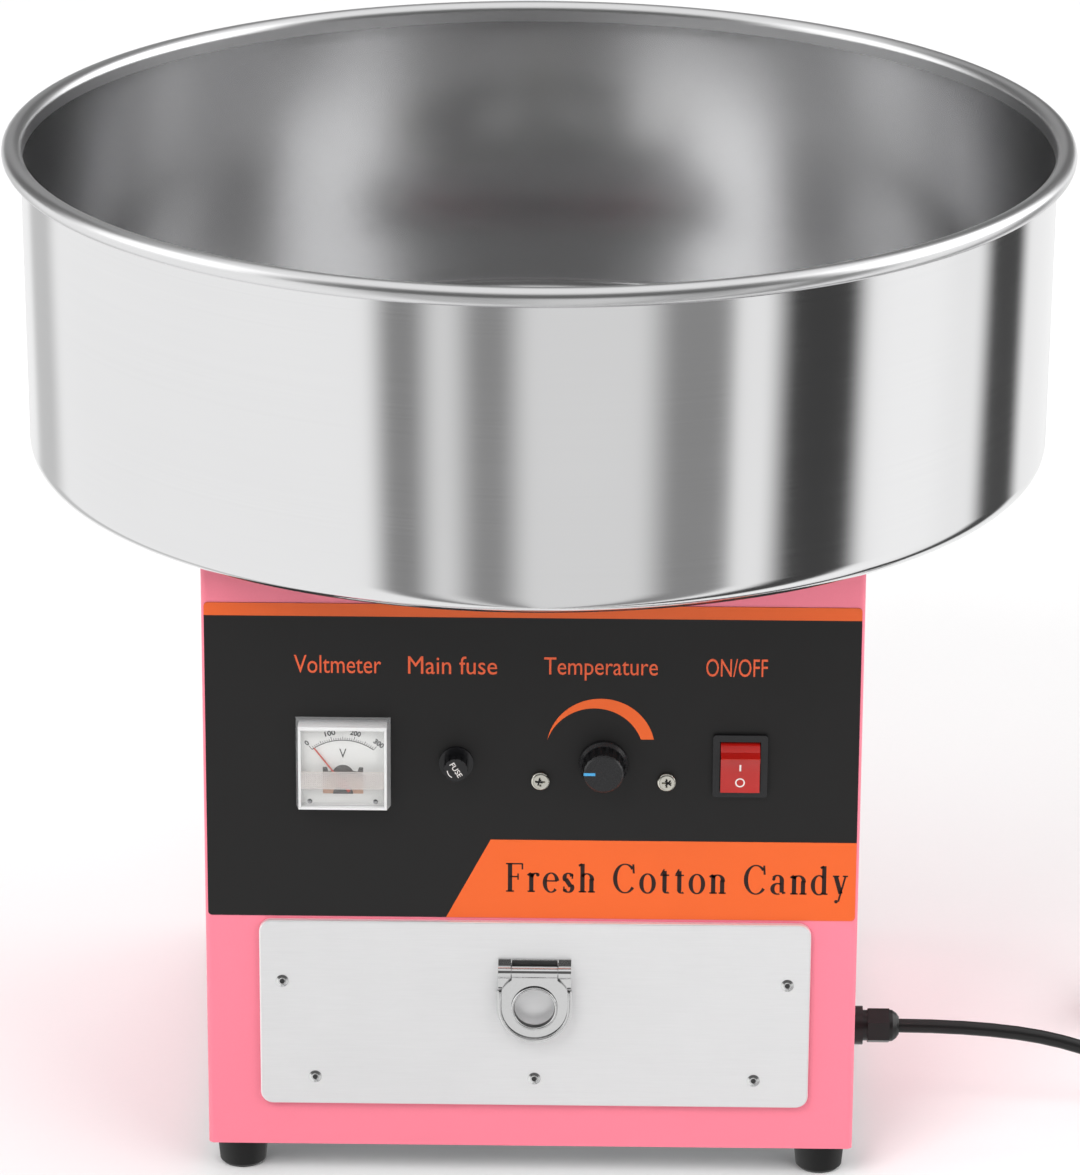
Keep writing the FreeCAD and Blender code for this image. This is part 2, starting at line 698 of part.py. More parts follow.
def belt_loop(r_small, r_large):
    """The closed line of a belt round both pulleys, at their groove radii, in the pulleys' plane."""
    lean = math.asin((r_large - r_small) / MOTOR_Y)
    c, s = math.cos(lean), math.sin(lean)

    def on(r, y, side):
        return vec(side * r * c, y - r * s, PULLEY_Z)

    a, b = on(r_small, 0, 1), on(r_large, MOTOR_Y, 1)
    d, e = on(r_large, MOTOR_Y, -1), on(r_small, 0, -1)
    edges = [
        Part.LineSegment(a, b).toShape(),
        Part.Arc(b, vec(0, MOTOR_Y + r_large, PULLEY_Z), d).toShape(),
        Part.LineSegment(d, e).toShape(),
        Part.Arc(e, vec(0, -r_small, PULLEY_Z), a).toShape(),
    ]
    return Part.Wire(edges)


def make_drive_belt():
    """A vee belt: flat at its back, and narrowed in steps towards the pulleys."""
    inset = GROOVE_DEPTH - BELT_SINK
    low = (SPINDLE_PULLEY_R - inset, MOTOR_PULLEY_R - inset)
    outer = Part.Face(belt_loop(low[0] + BELT_T, low[1] + BELT_T))
    slices = []
    for i in range(BELT_STEPS):
        share = (i + 0.5) / BELT_STEPS
        width = BELT_LOW_W + (BELT_TOP_W - BELT_LOW_W) * share
        depth = BELT_T * i / BELT_STEPS
        inner = Part.Face(belt_loop(low[0] + depth, low[1] + depth))
        band = outer.cut(inner).extrude(vec(0, 0, width))
        band.translate(vec(0, 0, -width / 2))
        slices.append(band)
    save("drive_belt", joined(slices))


def make_spindle_nuts():
    low = PULLEY_Z - PULLEY_T / 2
    nut = hexagon(11.5, 0, 8.0, "z", (0, 0)).cut(rod(SHAFT_R, -1, 9, "z", (0, 0)))
    nuts = [facing(nut, "+z", (0, 0, low - 8.0)), facing(nut, "+z", (0, 0, HEAD_BASE_Z + 3.0))]
    save("spindle_nuts", nuts)


def ring_places():
    return [RING_LOW_Z, RING_LOW_Z + RING_PITCH]


def make_slip_rings():
    hub_r = RING_R - 6.0
    top = RING_LOW_Z + RING_PITCH + RING_T + 4
    hub = ring(hub_r, SHAFT_R, RING_LOW_Z - 4, top)
    wall = ring(hub_r + 8, SHAFT_R, RING_LOW_Z + RING_T + 2.5, RING_LOW_Z + RING_PITCH - 2.5)
    save("slip_ring_hub", joined([hub, wall]))
    save("slip_rings", [ring(RING_R, hub_r, z, z + RING_T) for z in ring_places()])


def make_brush_holder():
    """An insulating block beside the slip rings, hung from the deck by its own arm."""
    low = RING_LOW_Z - 4
    top = RING_LOW_Z + RING_PITCH + RING_T + 4
    block = box(HOLDER_IN_X, HOLDER_OUT_X, -9, 9, low, top)
    arm = box(HOLDER_OUT_X - 5, HOLDER_OUT_X, -9, 9, top - 1, DECK_LOW)
    foot = box(HOLDER_OUT_X - 5, HOLDER_OUT_X + 18, -9, 9, DECK_LOW - 4, DECK_LOW)
    holder = joined([block, arm, foot])
    for z in ring_places():
        mid = z + RING_T / 2
        half = BRUSH_W / 2
        holder = holder.cut(box(HOLDER_IN_X - 1, HOLDER_OUT_X - 6, -half, half, mid - half, mid + half))
    save("brush_holder", holder)


def make_carbon_brushes():
    brushes = []
    for z in ring_places():
        mid = z + RING_T / 2
        half = BRUSH_W / 2 - 0.1
        brush = box(RING_R - 2, RING_R + BRUSH_L, -half, half, mid - half, mid + half)
        brushes.append(brush.cut(rod(RING_R + BRUSH_LIFT, z - 2, z + RING_T + 2, "z", (0, 0))))
    save("carbon_brushes", brushes)


def make_brush_springs():
    start = RING_R + BRUSH_L + 0.4
    end = HOLDER_OUT_X - 6.4
    springs = []
    for z in ring_places():
        coil_r = BRUSH_W / 2 - 0.8
        helix = Part.makeHelix((end - start) / 5, end - start, coil_r)
        section = Part.Wire([Part.makeCircle(0.35, vec(coil_r, 0, 0), Y_AXIS)])
        spring = Part.Wire(helix).makePipeShell([section], True, True)
        spring.rotate(vec(0, 0, 0), Y_AXIS, 90)
        spring.translate(vec(start, 0, z + RING_T / 2))
        springs.append(spring)
    save("brush_springs", springs)


# ---------------------------------------------------------------- motor
def motor_post_places():
    half = POST_SPAN / 2
    return [(sx * half, MOTOR_Y + sy * half) for sx in (-1, 1) for sy in (-1, 1)]


def make_motor():
    at = (0, MOTOR_Y)
    inner = MOTOR_R - MOTOR_SHELL
    bore = MOTOR_SHAFT_R + RUNNING
    low, top = MOTOR_LOW_Z, MOTOR_TOP_Z
    outline = [
        (bore, low - 6), (14, low - 6), (14, low), (MOTOR_R, low), (MOTOR_R, top), (bore, top),
        (bore, top - MOTOR_SHELL * 2), (inner, top - MOTOR_SHELL * 2),
        (inner, low + MOTOR_SHELL * 2), (bore, low + MOTOR_SHELL * 2),
    ]
    can = spun(outline, at)
    vent = box(26, 34, MOTOR_Y - 2, MOTOR_Y + 2, low - 1, low + MOTOR_SHELL * 2 + 1)
    save("motor_housing", less(can, around(vent, 10, 0, at)))
    mid = (low + top) / 2
    stator = ring(inner, ROTOR_R + 0.6, mid - 30, mid + 30, "z", at)
    windings = [ring(inner - 3, ROTOR_R + 3, mid + s * 36 - 6, mid + s * 36 + 6, "z", at) for s in (-1, 1)]
    save("motor_stator", joined([stator] + windings))
    rotor = rod(ROTOR_R, mid - 30, mid + 30, "z", at)
    shaft = rod(MOTOR_SHAFT_R, PULLEY_Z - PULLEY_T / 2 - 4, top - 0.5, "z", at)
    save("motor_rotor", joined([rotor, shaft]))


def make_motor_bracket():
    half = POST_SPAN / 2 + 7
    low = MOTOR_TOP_Z
    plate = round_slab(-half, half, MOTOR_Y - half, MOTOR_Y + half, low, low + 3, 6.0)
    parts = [plate]
    for x, y in motor_post_places():
        parts.append(rod(6.0, low, DECK_LOW, "z", (x, y)))
    bracket = joined(parts)
    for x, y in motor_post_places():
        bracket = bracket.cut(rod(BOLT_R, low - 1, DECK_LOW + 1, "z", (x, y)))
    save("motor_bracket", bracket)


def make_drive_screws():
    """The screws that hang the spindle housing and the motor bracket from the deck."""
    short = pan_screw(4.6, 2.8, BOLT_R, 9.0)
    long = pan_screw(4.6, 2.8, BOLT_R, DECK_TOP - MOTOR_TOP_Z)
    screws = []
    for i in range(4):
        angle = math.radians(45 + 90 * i)
        at = (HOUSING_BOLT_R * math.cos(angle), HOUSING_BOLT_R * math.sin(angle), DECK_TOP)
        screws.append(facing(short, "+z", at))
    screws.extend([facing(long, "-z", (x, y, MOTOR_TOP_Z)) for x, y in motor_post_places()])
    save("drive_screws", screws)


# ---------------------------------------------------------------- spinning head
def make_head_base():
    """The dish that turns: hub on the shaft, floor, turned-up edge and three cover posts."""
    z = HEAD_BASE_Z
    outline = [
        (SHAFT_R, z - 11), (18, z - 11), (20, z), (HEAD_R - 4, z), (HEAD_R, z + 3), (HEAD_R, z + 7),
        (HEAD_R - 1.6, z + 7), (HEAD_R - 1.6, z + 3), (SHAFT_R, z + 3),
    ]
    base = spun(outline)
    post = rod(3.0, z + 2, HEAD_COVER_Z, "z", (POST_R, 0))
    stud = rod(STUD_R, z + 2, HEAD_COVER_Z + HEAD_COVER_T + 7, "z", (POST_R, 0))
    save("head_base", joined([base] + around(post.fuse(stud), 3, 30)))


def make_perforated_band():
    """The ring that the melted sugar leaves through: two staggered rows of upright slots."""
    low = HEAD_BASE_Z + 3.0
    out = HEAD_R - 1.6
    band = ring(out, out - BAND_T, low, HEAD_COVER_Z)
    slot_h = (BAND_H - 9.0) / 2
    cutters = []
    for row in range(2):
        z0 = low + 5.5 + row * (slot_h + 1.6)
        slot = box(out - 3, out + 2, -0.9, 0.9, z0, z0 + slot_h - 1)
        cutters.extend(around(slot, BAND_SLOTS, row * 180.0 / BAND_SLOTS))
    save("perforated_band", band.cut(Part.makeCompound(cutters)))


def make_heater():
    """A tubular ring with a gap; its two ends turn down through insulators to the base."""
    z = HEAD_BASE_Z + 15.0
    arc = 330.0
    circle = Part.makeCircle(HEATER_TUBE_R, vec(HEATER_RING_R, 0, z), Y_AXIS)
    parts = [Part.Face(Part.Wire([circle])).revolve(vec(0, 0, 0), Z_AXIS, arc)]
    for degrees in (4.0, arc - 4.0):
        angle = math.radians(degrees)
        at = (HEATER_RING_R * math.cos(angle), HEATER_RING_R * math.sin(angle))
        parts.append(rod(HEATER_TUBE_R - 1, HEAD_BASE_Z + 3.0, z, "z", at))
        parts.append(rod(HEATER_TUBE_R + 1.5, HEAD_BASE_Z + 3.0, HEAD_BASE_Z + 8.0, "z", at))
    save("heater_element", joined(parts))


def make_head_cover():
    """The lid of the head, with the sugar well that hangs from its middle down to the base."""
    z = HEAD_COVER_Z
    t = HEAD_COVER_T
    foot_r = WELL_R - 5
    outline = [
        (WELL_R, z + 5), (WELL_R + t, z + 5), (WELL_R + t, z + t), (HEAD_R, z + t), (HEAD_R + 0.4, z - 3),
        (HEAD_R - 0.8, z - 3), (HEAD_R - 1.0, z), (WELL_R + t, z), (foot_r + t, HEAD_BASE_Z + 12.5),
        (foot_r, HEAD_BASE_Z + 12.5), (WELL_R, z),
    ]
    cover = spun(outline)
    notch = box(foot_r - 4, foot_r + 6, -3.5, 3.5, HEAD_BASE_Z + 10, HEAD_BASE_Z + 17)
    holes = around(rod(STUD_R, z - 1, z + 5, "z", (POST_R, 0)), 3, 30)
    save("head_cover", less(cover, around(notch, 6) + holes))


def make_thumb_nuts():
    low = HEAD_COVER_Z + HEAD_COVER_T
    nut = ring(NUT_R, STUD_R, low, low + 4.5, "z", (POST_R, 0))
    knurl = rod(0.5, low - 1, low + 6, "z", (POST_R + NUT_R, 0))
    nut = less(nut, around(knurl, 18, 0, (POST_R, 0)))
    save("thumb_nuts", around(nut, 3, 30))


# ---------------------------------------------------------------- voltmeter
def square_panel(width, y0, y1):
    half = width / 2
    return round_panel(METER_X - half, METER_X + half, y0, y1, ROW_Z - half, ROW_Z + half, 1.5)


def tapered_block(back_w, front_w, y_back, y_front):
    """A square block round the meter's centre that narrows towards the front."""
    loops = []
    for width, y in ((back_w, y_back), (front_w, y_front)):
        half = width / 2
        corners = [(-half, -half), (half, -half), (half, half), (-half, half), (-half, -half)]
        loops.append(Part.makePolygon([vec(METER_X + u, y, ROW_Z + v) for u, v in corners]))
    return Part.makeLoft(loops, True, True)


def make_meter():
    seat = FILM_Y
    front = seat - METER_DEPTH
    dial_y = seat - METER_DIAL_DEPTH
    dial_back = dial_y + METER_DIAL_T
    case = square_panel(METER_W - 3 * METER_WALL, dial_back, seat)
    barrel = rod(METER_BARREL_R, seat - 0.5, FRONT_Y + METER_BARREL_L, "y", (METER_X, ROW_Z))
    studs = [rod(METER_STUD_R, seat - 0.5, FRONT_Y + 12, "y", place) for place in meter_stud_places()]
    save("meter_case", joined([case, barrel] + studs))
    dial = square_panel(METER_W - 3 * METER_WALL, dial_y, dial_back)
    save("meter_dial", dial)
    outer = tapered_block(METER_W, METER_FACE_W, seat, front)
    inner = tapered_block(
        METER_W - 2 * METER_WALL, METER_FACE_W - 2 * METER_WALL, seat + 0.01, front + METER_WALL
    )
    save("meter_lens", outer.cut(inner))
    pivot_z = ROW_Z - NEEDLE_DROP
    y0 = dial_y - 1.6
    hub = rod(2.2, y0 - 0.6, dial_y - FLAT_GAP, "y", (METER_X, pivot_z))
    blade = box(METER_X - 0.35, METER_X + 0.35, y0, y0 + 0.4, pivot_z, pivot_z + NEEDLE_L)
    tail = box(METER_X - 0.7, METER_X + 0.7, y0, y0 + 0.4, pivot_z - 5, pivot_z)
    needle = turned(joined([hub, blade, tail]), vec(METER_X, 0, pivot_z), Y_AXIS, -NEEDLE_SWEEP)
    save("meter_needle", needle)


# ---------------------------------------------------------------- fuse holder
def make_fuse():
    bore = FUSE_LINK_R + 0.4
    neck_bore = FUSE_CAP_R - 1.0
    barrel = FUSE_BARREL_R - 0.1
    back = FRONT_Y + FUSE_BARREL_L
    outline = [
        (neck_bore, CAP_FACE_Y), (FUSE_FLANGE_R, CAP_FACE_Y), (FUSE_FLANGE_R, FILM_Y),
        (barrel, FILM_Y), (barrel, back), (2.0, back), (2.0, back - 3),
        (bore, back - 3), (bore, FRONT_Y + 8), (neck_bore, FRONT_Y + 8),
    ]
    holder = spun_y(outline, FUSE_X, ROW_Z)
    axis = (FUSE_X, ROW_Z)
    nut = ring(FUSE_FLANGE_R + 0.8, barrel, INNER_FRONT_Y, INNER_FRONT_Y + 3, "y", axis)
    tab = box(FUSE_X - 2.4, FUSE_X + 2.4, back, back + 7, ROW_Z - 0.4, ROW_Z + 0.4)
    save("fuse_holder", [joined([holder, tab]), nut])
    face = CAP_FACE_Y - FUSE_CAP_L
    neck = neck_bore - 0.3
    cap = joined([
        rod(FUSE_CAP_R, face, CAP_FACE_Y - FLAT_GAP, "y", (FUSE_X, ROW_Z)),
        ring(neck, FUSE_LINK_R, CAP_FACE_Y - 1, FRONT_Y + 4, "y", (FUSE_X, ROW_Z)),
    ])
    grips = []
    for i in range(12):
        angle = math.radians(30 * i)
        at = (FUSE_X + FUSE_CAP_R * math.cos(angle), ROW_Z + FUSE_CAP_R * math.sin(angle))
        grips.append(rod(0.4, face - 1, CAP_FACE_Y - 2, "y", at))
    save("fuse_cap", less(cap, grips))
    start = FRONT_Y + 2
    link = rod(FUSE_LINK_R - 0.1, start, start + FUSE_LINK_L, "y", (FUSE_X, ROW_Z))
    save("fuse_link", link)


# ---------------------------------------------------------------- heat regulator
def regulator_screw_places():
    z = ROW_Z - REG_SCREW_DROP
    return [(KNOB_X - REG_SCREW_SPAN / 2, z), (KNOB_X + REG_SCREW_SPAN / 2, z)]


def make_regulator():
    w, d, h = REG_BODY
    y0 = INNER_FRONT_Y
    low = ROW_Z - REG_SCREW_DROP - h / 2
    body = box(KNOB_X - w / 2, KNOB_X + w / 2, y0, y0 + d, low, low + h)
    bore = rod(SPINDLE_PIN_R + RUNNING, y0 - 1, y0 + 18, "y", (KNOB_X, ROW_Z))
    parts = [body]
    for i in range(7):
        x = KNOB_X - w / 2 + 8 + i * (w - 16) / 6
        parts.append(box(x - 1, x + 1, y0 + d - 0.5, y0 + d + 12, low + 3, low + h - 3))
    body = joined(parts).cut(bore)
    for x, z in regulator_screw_places():
        body = body.cut(rod(SCREW_R, y0 - 1, y0 + 8, "y", (x, z)))
    save("heat_regulator", body)
    screw = pan_screw(4.6, 2.2, SCREW_R, 8.0)
    screws = [facing(screw, "-y", (x, FILM_Y, z)) for x, z in regulator_screw_places()]
    save("regulator_screws", screws)
    pin = rod(SPINDLE_PIN_R, FILM_Y - KNOB_L + 3, y0 + 17, "y", (KNOB_X, ROW_Z))
    save("regulator_spindle", pin)


def make_heat_knob():
    """A round knob on a skirt, with flutes round its grip and a raised pointer to nine o'clock."""
    back = FILM_Y - 0.6
    front = FILM_Y - KNOB_L
    waist = KNOB_TOP_R + 0.9
    outline = [
        (SPINDLE_PIN_R, back), (KNOB_SKIRT_R, back), (KNOB_SKIRT_R, back - 1.6), (waist, back - 3.4),
        (KNOB_TOP_R, front + 0.8), (KNOB_TOP_R - 0.8, front), (0.01, front), (0.01, front + 3),
        (SPINDLE_PIN_R, front + 3),
    ]
    knob = spun_y(outline, KNOB_X, ROW_Z)
    flutes = []
    for i in range(KNOB_FLUTES):
        angle = math.radians(360.0 * (i + 0.5) / KNOB_FLUTES)
        at = (KNOB_X + waist * math.cos(angle), ROW_Z + waist * math.sin(angle))
        flutes.append(rod(KNOB_FLUTE_R, front - 1, back - 3.6, "y", at))
    save("heat_knob", less(knob, flutes))


# ---------------------------------------------------------------- rocker switch
def make_switch_housing():
    half_w, half_h = BEZEL_W / 2, BEZEL_H / 2
    body_w, body_h = half_w - 2.1, half_h - 1.45
    front = FILM_Y - BEZEL_T
    back = FRONT_Y + SWITCH_DEPTH
    bezel = round_panel(
        SWITCH_X - half_w, SWITCH_X + half_w, front, FILM_Y, ROW_Z - half_h, ROW_Z + half_h, 1.5
    )
    x0, x1 = SWITCH_X - body_w, SWITCH_X + body_w
    shell = box(x0, x1, FILM_Y - 0.1, back, ROW_Z - body_h, ROW_Z + body_h)
    tabs = [
        box(SWITCH_X - 3, SWITCH_X + 3, back - 0.5, back + 8, ROW_Z + dz - 0.4, ROW_Z + dz + 0.4)
        for dz in (-9.0, 0.0, 9.0)
    ]
    housing = joined([bezel, shell] + tabs)
    window = box(
        SWITCH_X - WINDOW_W / 2, SWITCH_X + WINDOW_W / 2, front - 1, FILM_Y + 1,
        ROW_Z - WINDOW_H / 2, ROW_Z + WINDOW_H / 2,
    )
    room_h = body_h - 0.8
    room = box(
        SWITCH_X - WINDOW_W / 2, SWITCH_X + WINDOW_W / 2, FILM_Y, back - 3,
        ROW_Z - room_h, ROW_Z + room_h,
    )
    pivot = rocker_pivot()
    bore = rod(PIN_R + RUNNING, SWITCH_X - half_w, SWITCH_X + half_w, "x", (pivot.y, pivot.z))
    save("switch_housing", less(housing, [window, room, bore]))


def rocker_pivot():
    return vec(SWITCH_X, FRONT_Y + ROCKER_PIVOT_DEPTH, ROW_Z)


def make_power_rocker():
    """The rocker in its off position: its top stands out and its foot is pressed in."""
    pivot = rocker_pivot()
    half = WINDOW_W / 2 - 0.4
    reach, rise = ROCKER_CORNER
    x0 = SWITCH_X - half

    def at(out, up):
        return vec(x0, pivot.y - out, pivot.z + up)

    def on_arc(degrees, side):
        angle = math.radians(degrees)
        return at(ROCKER_END_R * math.cos(angle), side * ROCKER_END_R * math.sin(angle))

    lines = [
        Part.Arc(at(reach, -rise), at(reach - 2.2, 0), at(reach, rise)),
        Part.LineSegment(at(reach, rise), on_arc(52, 1)),
        Part.Arc(on_arc(52, 1), on_arc(74, 1), on_arc(96, 1)),
        Part.LineSegment(on_arc(96, 1), at(-5.0, 4.0)),
        Part.LineSegment(at(-5.0, 4.0), at(-5.0, -4.0)),
        Part.LineSegment(at(-5.0, -4.0), on_arc(96, -1)),
        Part.Arc(on_arc(96, -1), on_arc(74, -1), on_arc(52, -1)),
        Part.LineSegment(on_arc(52, -1), at(reach, -rise)),
    ]
    face = Part.Face(Part.Wire([line.toShape() for line in lines]))
    rocker = face.extrude(vec(2 * half, 0, 0))
    pin_half = BEZEL_W / 2 - 2.3
    trunnion = rod(PIN_R, SWITCH_X - pin_half, SWITCH_X + pin_half, "x", (pivot.y, pivot.z))
    save("power_rocker", turned(joined([rocker, trunnion]), pivot, X_AXIS, ROCKER_TILT))


# ---------------------------------------------------------------- drawer
def rivet_places():
    top_z = DRAWER_MID_Z + 16.7
    low_z = DRAWER_LOW_Z + 14.5
    places = [(DRAWER_X + s * 121.5, top_z) for s in (-1, 1)]
    places.extend([(DRAWER_X + s * 106.0, low_z) for s in (-1, 0, 1)])
    return places


def make_drawer_rails():
    """Two folded rails on the base plate: each carries the tray on a ledge and guides its side."""
    half = TRAY_W / 2 + 0.5
    top = TRAY_LOW_Z + 16
    ledge = TRAY_LOW_Z - 0.2
    rails = []
    for side in (-1, 1):
        outline = [
            (half + 14, FLOOR_TOP), (half + 14, FLOOR_TOP + SHEET), (half + SHEET, FLOOR_TOP + SHEET),
            (half + SHEET, top), (half, top), (half, ledge), (half - 12, ledge), (half - 12, ledge - SHEET),
            (half, ledge - SHEET), (half, FLOOR_TOP),
        ]
        loop = [vec(DRAWER_X + side * u, INNER_FRONT_Y + 4, z) for u, z in outline]
        rails.append(Part.Face(Part.makePolygon(loop + loop[:1])).extrude(vec(0, TRAY_L + 20, 0)))
    save("drawer_rails", rails)


def make_drawer_tray():
    """An open tray with a wide front flange that the drawer front is riveted to."""
    half = TRAY_W / 2
    low, top = TRAY_LOW_Z, TRAY_LOW_Z + TRAY_H
    front = FACE_BACK_Y
    back = front + TRAY_L
    t = DRAWER_SHEET
    tray = box(DRAWER_X - half, DRAWER_X + half, front, back, low, top)
    hollow = box(DRAWER_X - half + t, DRAWER_X + half - t, FLANGE_BACK_Y, back - t, low + t, top + 1)
    inset = 1.4 + t
    flange = box(
        DRAWER_X - DRAWER_FRONT_W / 2 + inset + 3, DRAWER_X + DRAWER_FRONT_W / 2 - inset - 3,
        front, FLANGE_BACK_Y, DRAWER_LOW_Z + inset + 1, DRAWER_TOP_Z - inset - 1,
    )
    tray = joined([tray.cut(hollow), flange])
    for x, z in rivet_places():
        tray = tray.cut(rod(RIVET_R, front - 1, FLANGE_BACK_Y + 0.01, "y", (x, z)))
    save("drawer_tray", tray)


def make_drawer_front():
    """A shallow pressed panel: a flat face with its four edges turned back."""
    half = DRAWER_FRONT_W / 2
    rim_y = FRONT_Y - FLAT_GAP
    panel = round_panel(
        DRAWER_X - half, DRAWER_X + half, FACE_Y, rim_y, DRAWER_LOW_Z, DRAWER_TOP_Z, DRAWER_CORNER_R
    )
    t = DRAWER_SHEET
    hollow = round_panel(
        DRAWER_X - half + t, DRAWER_X + half - t, FACE_BACK_Y, rim_y + 1,
        DRAWER_LOW_Z + t, DRAWER_TOP_Z - t, DRAWER_CORNER_R - t,
    )
    panel = panel.cut(hollow)
    for x, z in rivet_places():
        panel = panel.cut(rod(RIVET_R, FACE_Y - 1, FACE_BACK_Y + 1, "y", (x, z)))
    save("drawer_front", panel)


def make_drawer_rivets():
    rivets = []
    for x, z in rivet_places():
        outline = [
            (0.9, FACE_Y - 0.7), (RIVET_HEAD_R * 0.6, FACE_Y - 0.9), (RIVET_HEAD_R, FACE_Y - 0.3),
            (RIVET_HEAD_R, FACE_Y), (RIVET_R, FACE_Y), (RIVET_R, FLANGE_BACK_Y),
            (RIVET_R + 0.7, FLANGE_BACK_Y), (RIVET_R + 0.5, FLANGE_BACK_Y + 1.0),
            (0.9, FLANGE_BACK_Y + 1.0),
        ]
        rivets.append(spun_y(outline, x, z))
    save("drawer_rivets", rivets)


def make_pull():
    neck = PULL_NECK_W / 2
    ear_in = neck + 0.4
    ear_out = PULL_W / 2 - 0.6
    pin_y, pin_z = PULL_PIN_Y, PULL_PIN_Z
    plate = box(DRAWER_X - ear_out, DRAWER_X + ear_out, FACE_Y - 0.8, FACE_Y, pin_z - 10, pin_z + 5)
    parts = [plate]
    for side in (-1, 1):
        x0, x1 = sorted((DRAWER_X + side * ear_in, DRAWER_X + side * ear_out))
        parts.append(box(x0, x1, pin_y, FACE_Y - 0.4, pin_z - 8.5, pin_z + 3.2))
        parts.append(rod(3.2, x0, x1, "x", (pin_y, pin_z)))
    bracket = joined(parts)
    bracket = bracket.cut(rod(PIN_R, DRAWER_X - ear_out - 1, DRAWER_X + ear_out + 1, "x", (pin_y, pin_z)))
    save("pull_bracket", bracket)
    save("pull_pin", rod(PIN_R, DRAWER_X - ear_out + 0.4, DRAWER_X + ear_out - 0.4, "x", (pin_y, pin_z)))
    round_r = PULL_W / 2
    mid_z = PULL_LOW_Z + round_r
    y0 = pin_y - 0.4 - PULL_SHEET
    y1 = y0 + PULL_SHEET
    shoulder_z = pin_z - 9.0
    flap = joined([
        rod(round_r, y0, y1, "y", (DRAWER_X, mid_z)),
        box(DRAWER_X - round_r, DRAWER_X + round_r, y0, y1, mid_z, shoulder_z),
        box(DRAWER_X - neck, DRAWER_X + neck, y0, y1, shoulder_z - 1, pin_z),
        rod(3.0, DRAWER_X - neck, DRAWER_X + neck, "x", (pin_y, pin_z)),
        rod(PULL_HOLE_R + 1.4, y0, y1 + PULL_COLLAR - PULL_SHEET, "y", (DRAWER_X, mid_z)),
    ])
    flap = flap.cut(rod(PIN_R + RUNNING, DRAWER_X - neck - 1, DRAWER_X + neck + 1, "x", (pin_y, pin_z)))
    flap = flap.cut(rod(PULL_HOLE_R, y0 - 1, y1 + PULL_COLLAR, "y", (DRAWER_X, mid_z)))
    save("drawer_pull", flap)


# ---------------------------------------------------------------- mains side
def make_gland():
    at = (GLAND_Y, GLAND_Z)
    bore = CORD_D / 2 + 0.4
    flange_end = SIDE_X + 6.7
    cap_start = flange_end + 2.4
    cap_end = cap_start + 10.7
    mouth = cap_end + 4.8
    body = joined([
        rod(GLAND_FLANGE_R, SIDE_X, flange_end, "x", at),
        rod(GLAND_THREAD_R, INNER_X - 9, cap_start + 6, "x", at),
    ])
    body = body.cut(rod(bore, INNER_X - 10, cap_end, "x", at))
    nut = hexagon(GLAND_THREAD_R + 3.4, INNER_X - 5, INNER_X, "x", at)
    save("gland_body", [body, nut.cut(rod(GLAND_THREAD_R, INNER_X - 6, INNER_X + 1, "x", at))])
    hexes = hexagon(GLAND_HEX_R, cap_start, cap_end, "x", at)
    loop = [
        (cap_end - 0.5, 0), (cap_end - 0.5, GLAND_HEX_R - 1.2), (cap_end + 1.6, GLAND_HEX_R - 1.5),
        (cap_end + 3.6, GLAND_HEX_R - 3.0), (mouth, CORD_D / 2 + 1.0), (mouth, 0),
    ]
    points = [vec(x, GLAND_Y + r, GLAND_Z) for x, r in loop]
    dome = Part.Face(Part.makePolygon(points + points[:1])).revolve(vec(0, *at), X_AXIS, 360)
    cap = joined([hexes, dome]).cut(rod(GLAND_THREAD_R, cap_start - 1, cap_start + 6, "x", at))
    save("gland_cap", cap.cut(rod(CORD_D / 2, cap_start, mouth + 1, "x", at)))


def make_terminal_block():
    x0, y0 = 60.0, BACK_Y - 40.0
    block = box(x0, x0 + 62, y0, y0 + 22, FLOOR_TOP, FLOOR_TOP + 16)
    cutters = []
    for i in range(5):
        x = x0 + 9 + i * 11
        cutters.append(rod(3.0, FLOOR_TOP + 8, FLOOR_TOP + 17, "z", (x, y0 + 11)))
        cutters.append(rod(2.0, y0 - 1, y0 + 23, "y", (x, FLOOR_TOP + 5)))
    save("terminal_block", less(block, cutters))


def cord_path(points):
    """Straight runs joined by tangent arcs, each as large as its two runs allow."""
    places = [vec(*p) for p in points]
    edges = []
    radii = []
    start = places[0]
    for before, corner, after in zip(places, places[1:], places[2:]):
        u = (corner - before).normalize()
        v = (after - corner).normalize()
        turn = u.getAngle(v)
        shorter = min((corner - before).Length, (after - corner).Length)
        radius = 0.45 * shorter / math.tan(turn / 2)
        a = corner - u * (0.45 * shorter)
        b = corner + v * (0.45 * shorter)
        bisector = (v - u).normalize()
        middle = corner + bisector * (radius / math.cos(turn / 2) - radius)
        edges.append(Part.LineSegment(start, a).toShape())
        edges.append(Part.Arc(a, middle, b).toShape())
        radii.append(radius)
        start = b
    edges.append(Part.LineSegment(start, places[-1]).toShape())
    return Part.Wire(edges), radii


def cord_tube(name, points):
    """A round tube along a route; its length is handed back."""
    path, radii = cord_path(points)
    first = (vec(*points[1]) - vec(*points[0])).normalize()
    section = Part.Wire([Part.makeCircle(CORD_D / 2, vec(*points[0]), first)])
    tube = path.makePipeShell([section], True, True)
    expected = math.pi * (CORD_D / 2) ** 2 * path.Length
    print(f"{name} radii (mm):", [round(r) for r in radii])
    print(f"{name}: length {path.Length:.1f} mm, volume {tube.Volume:.0f} of {expected:.0f} mm3")
    save(name, tube)
    return path.Length


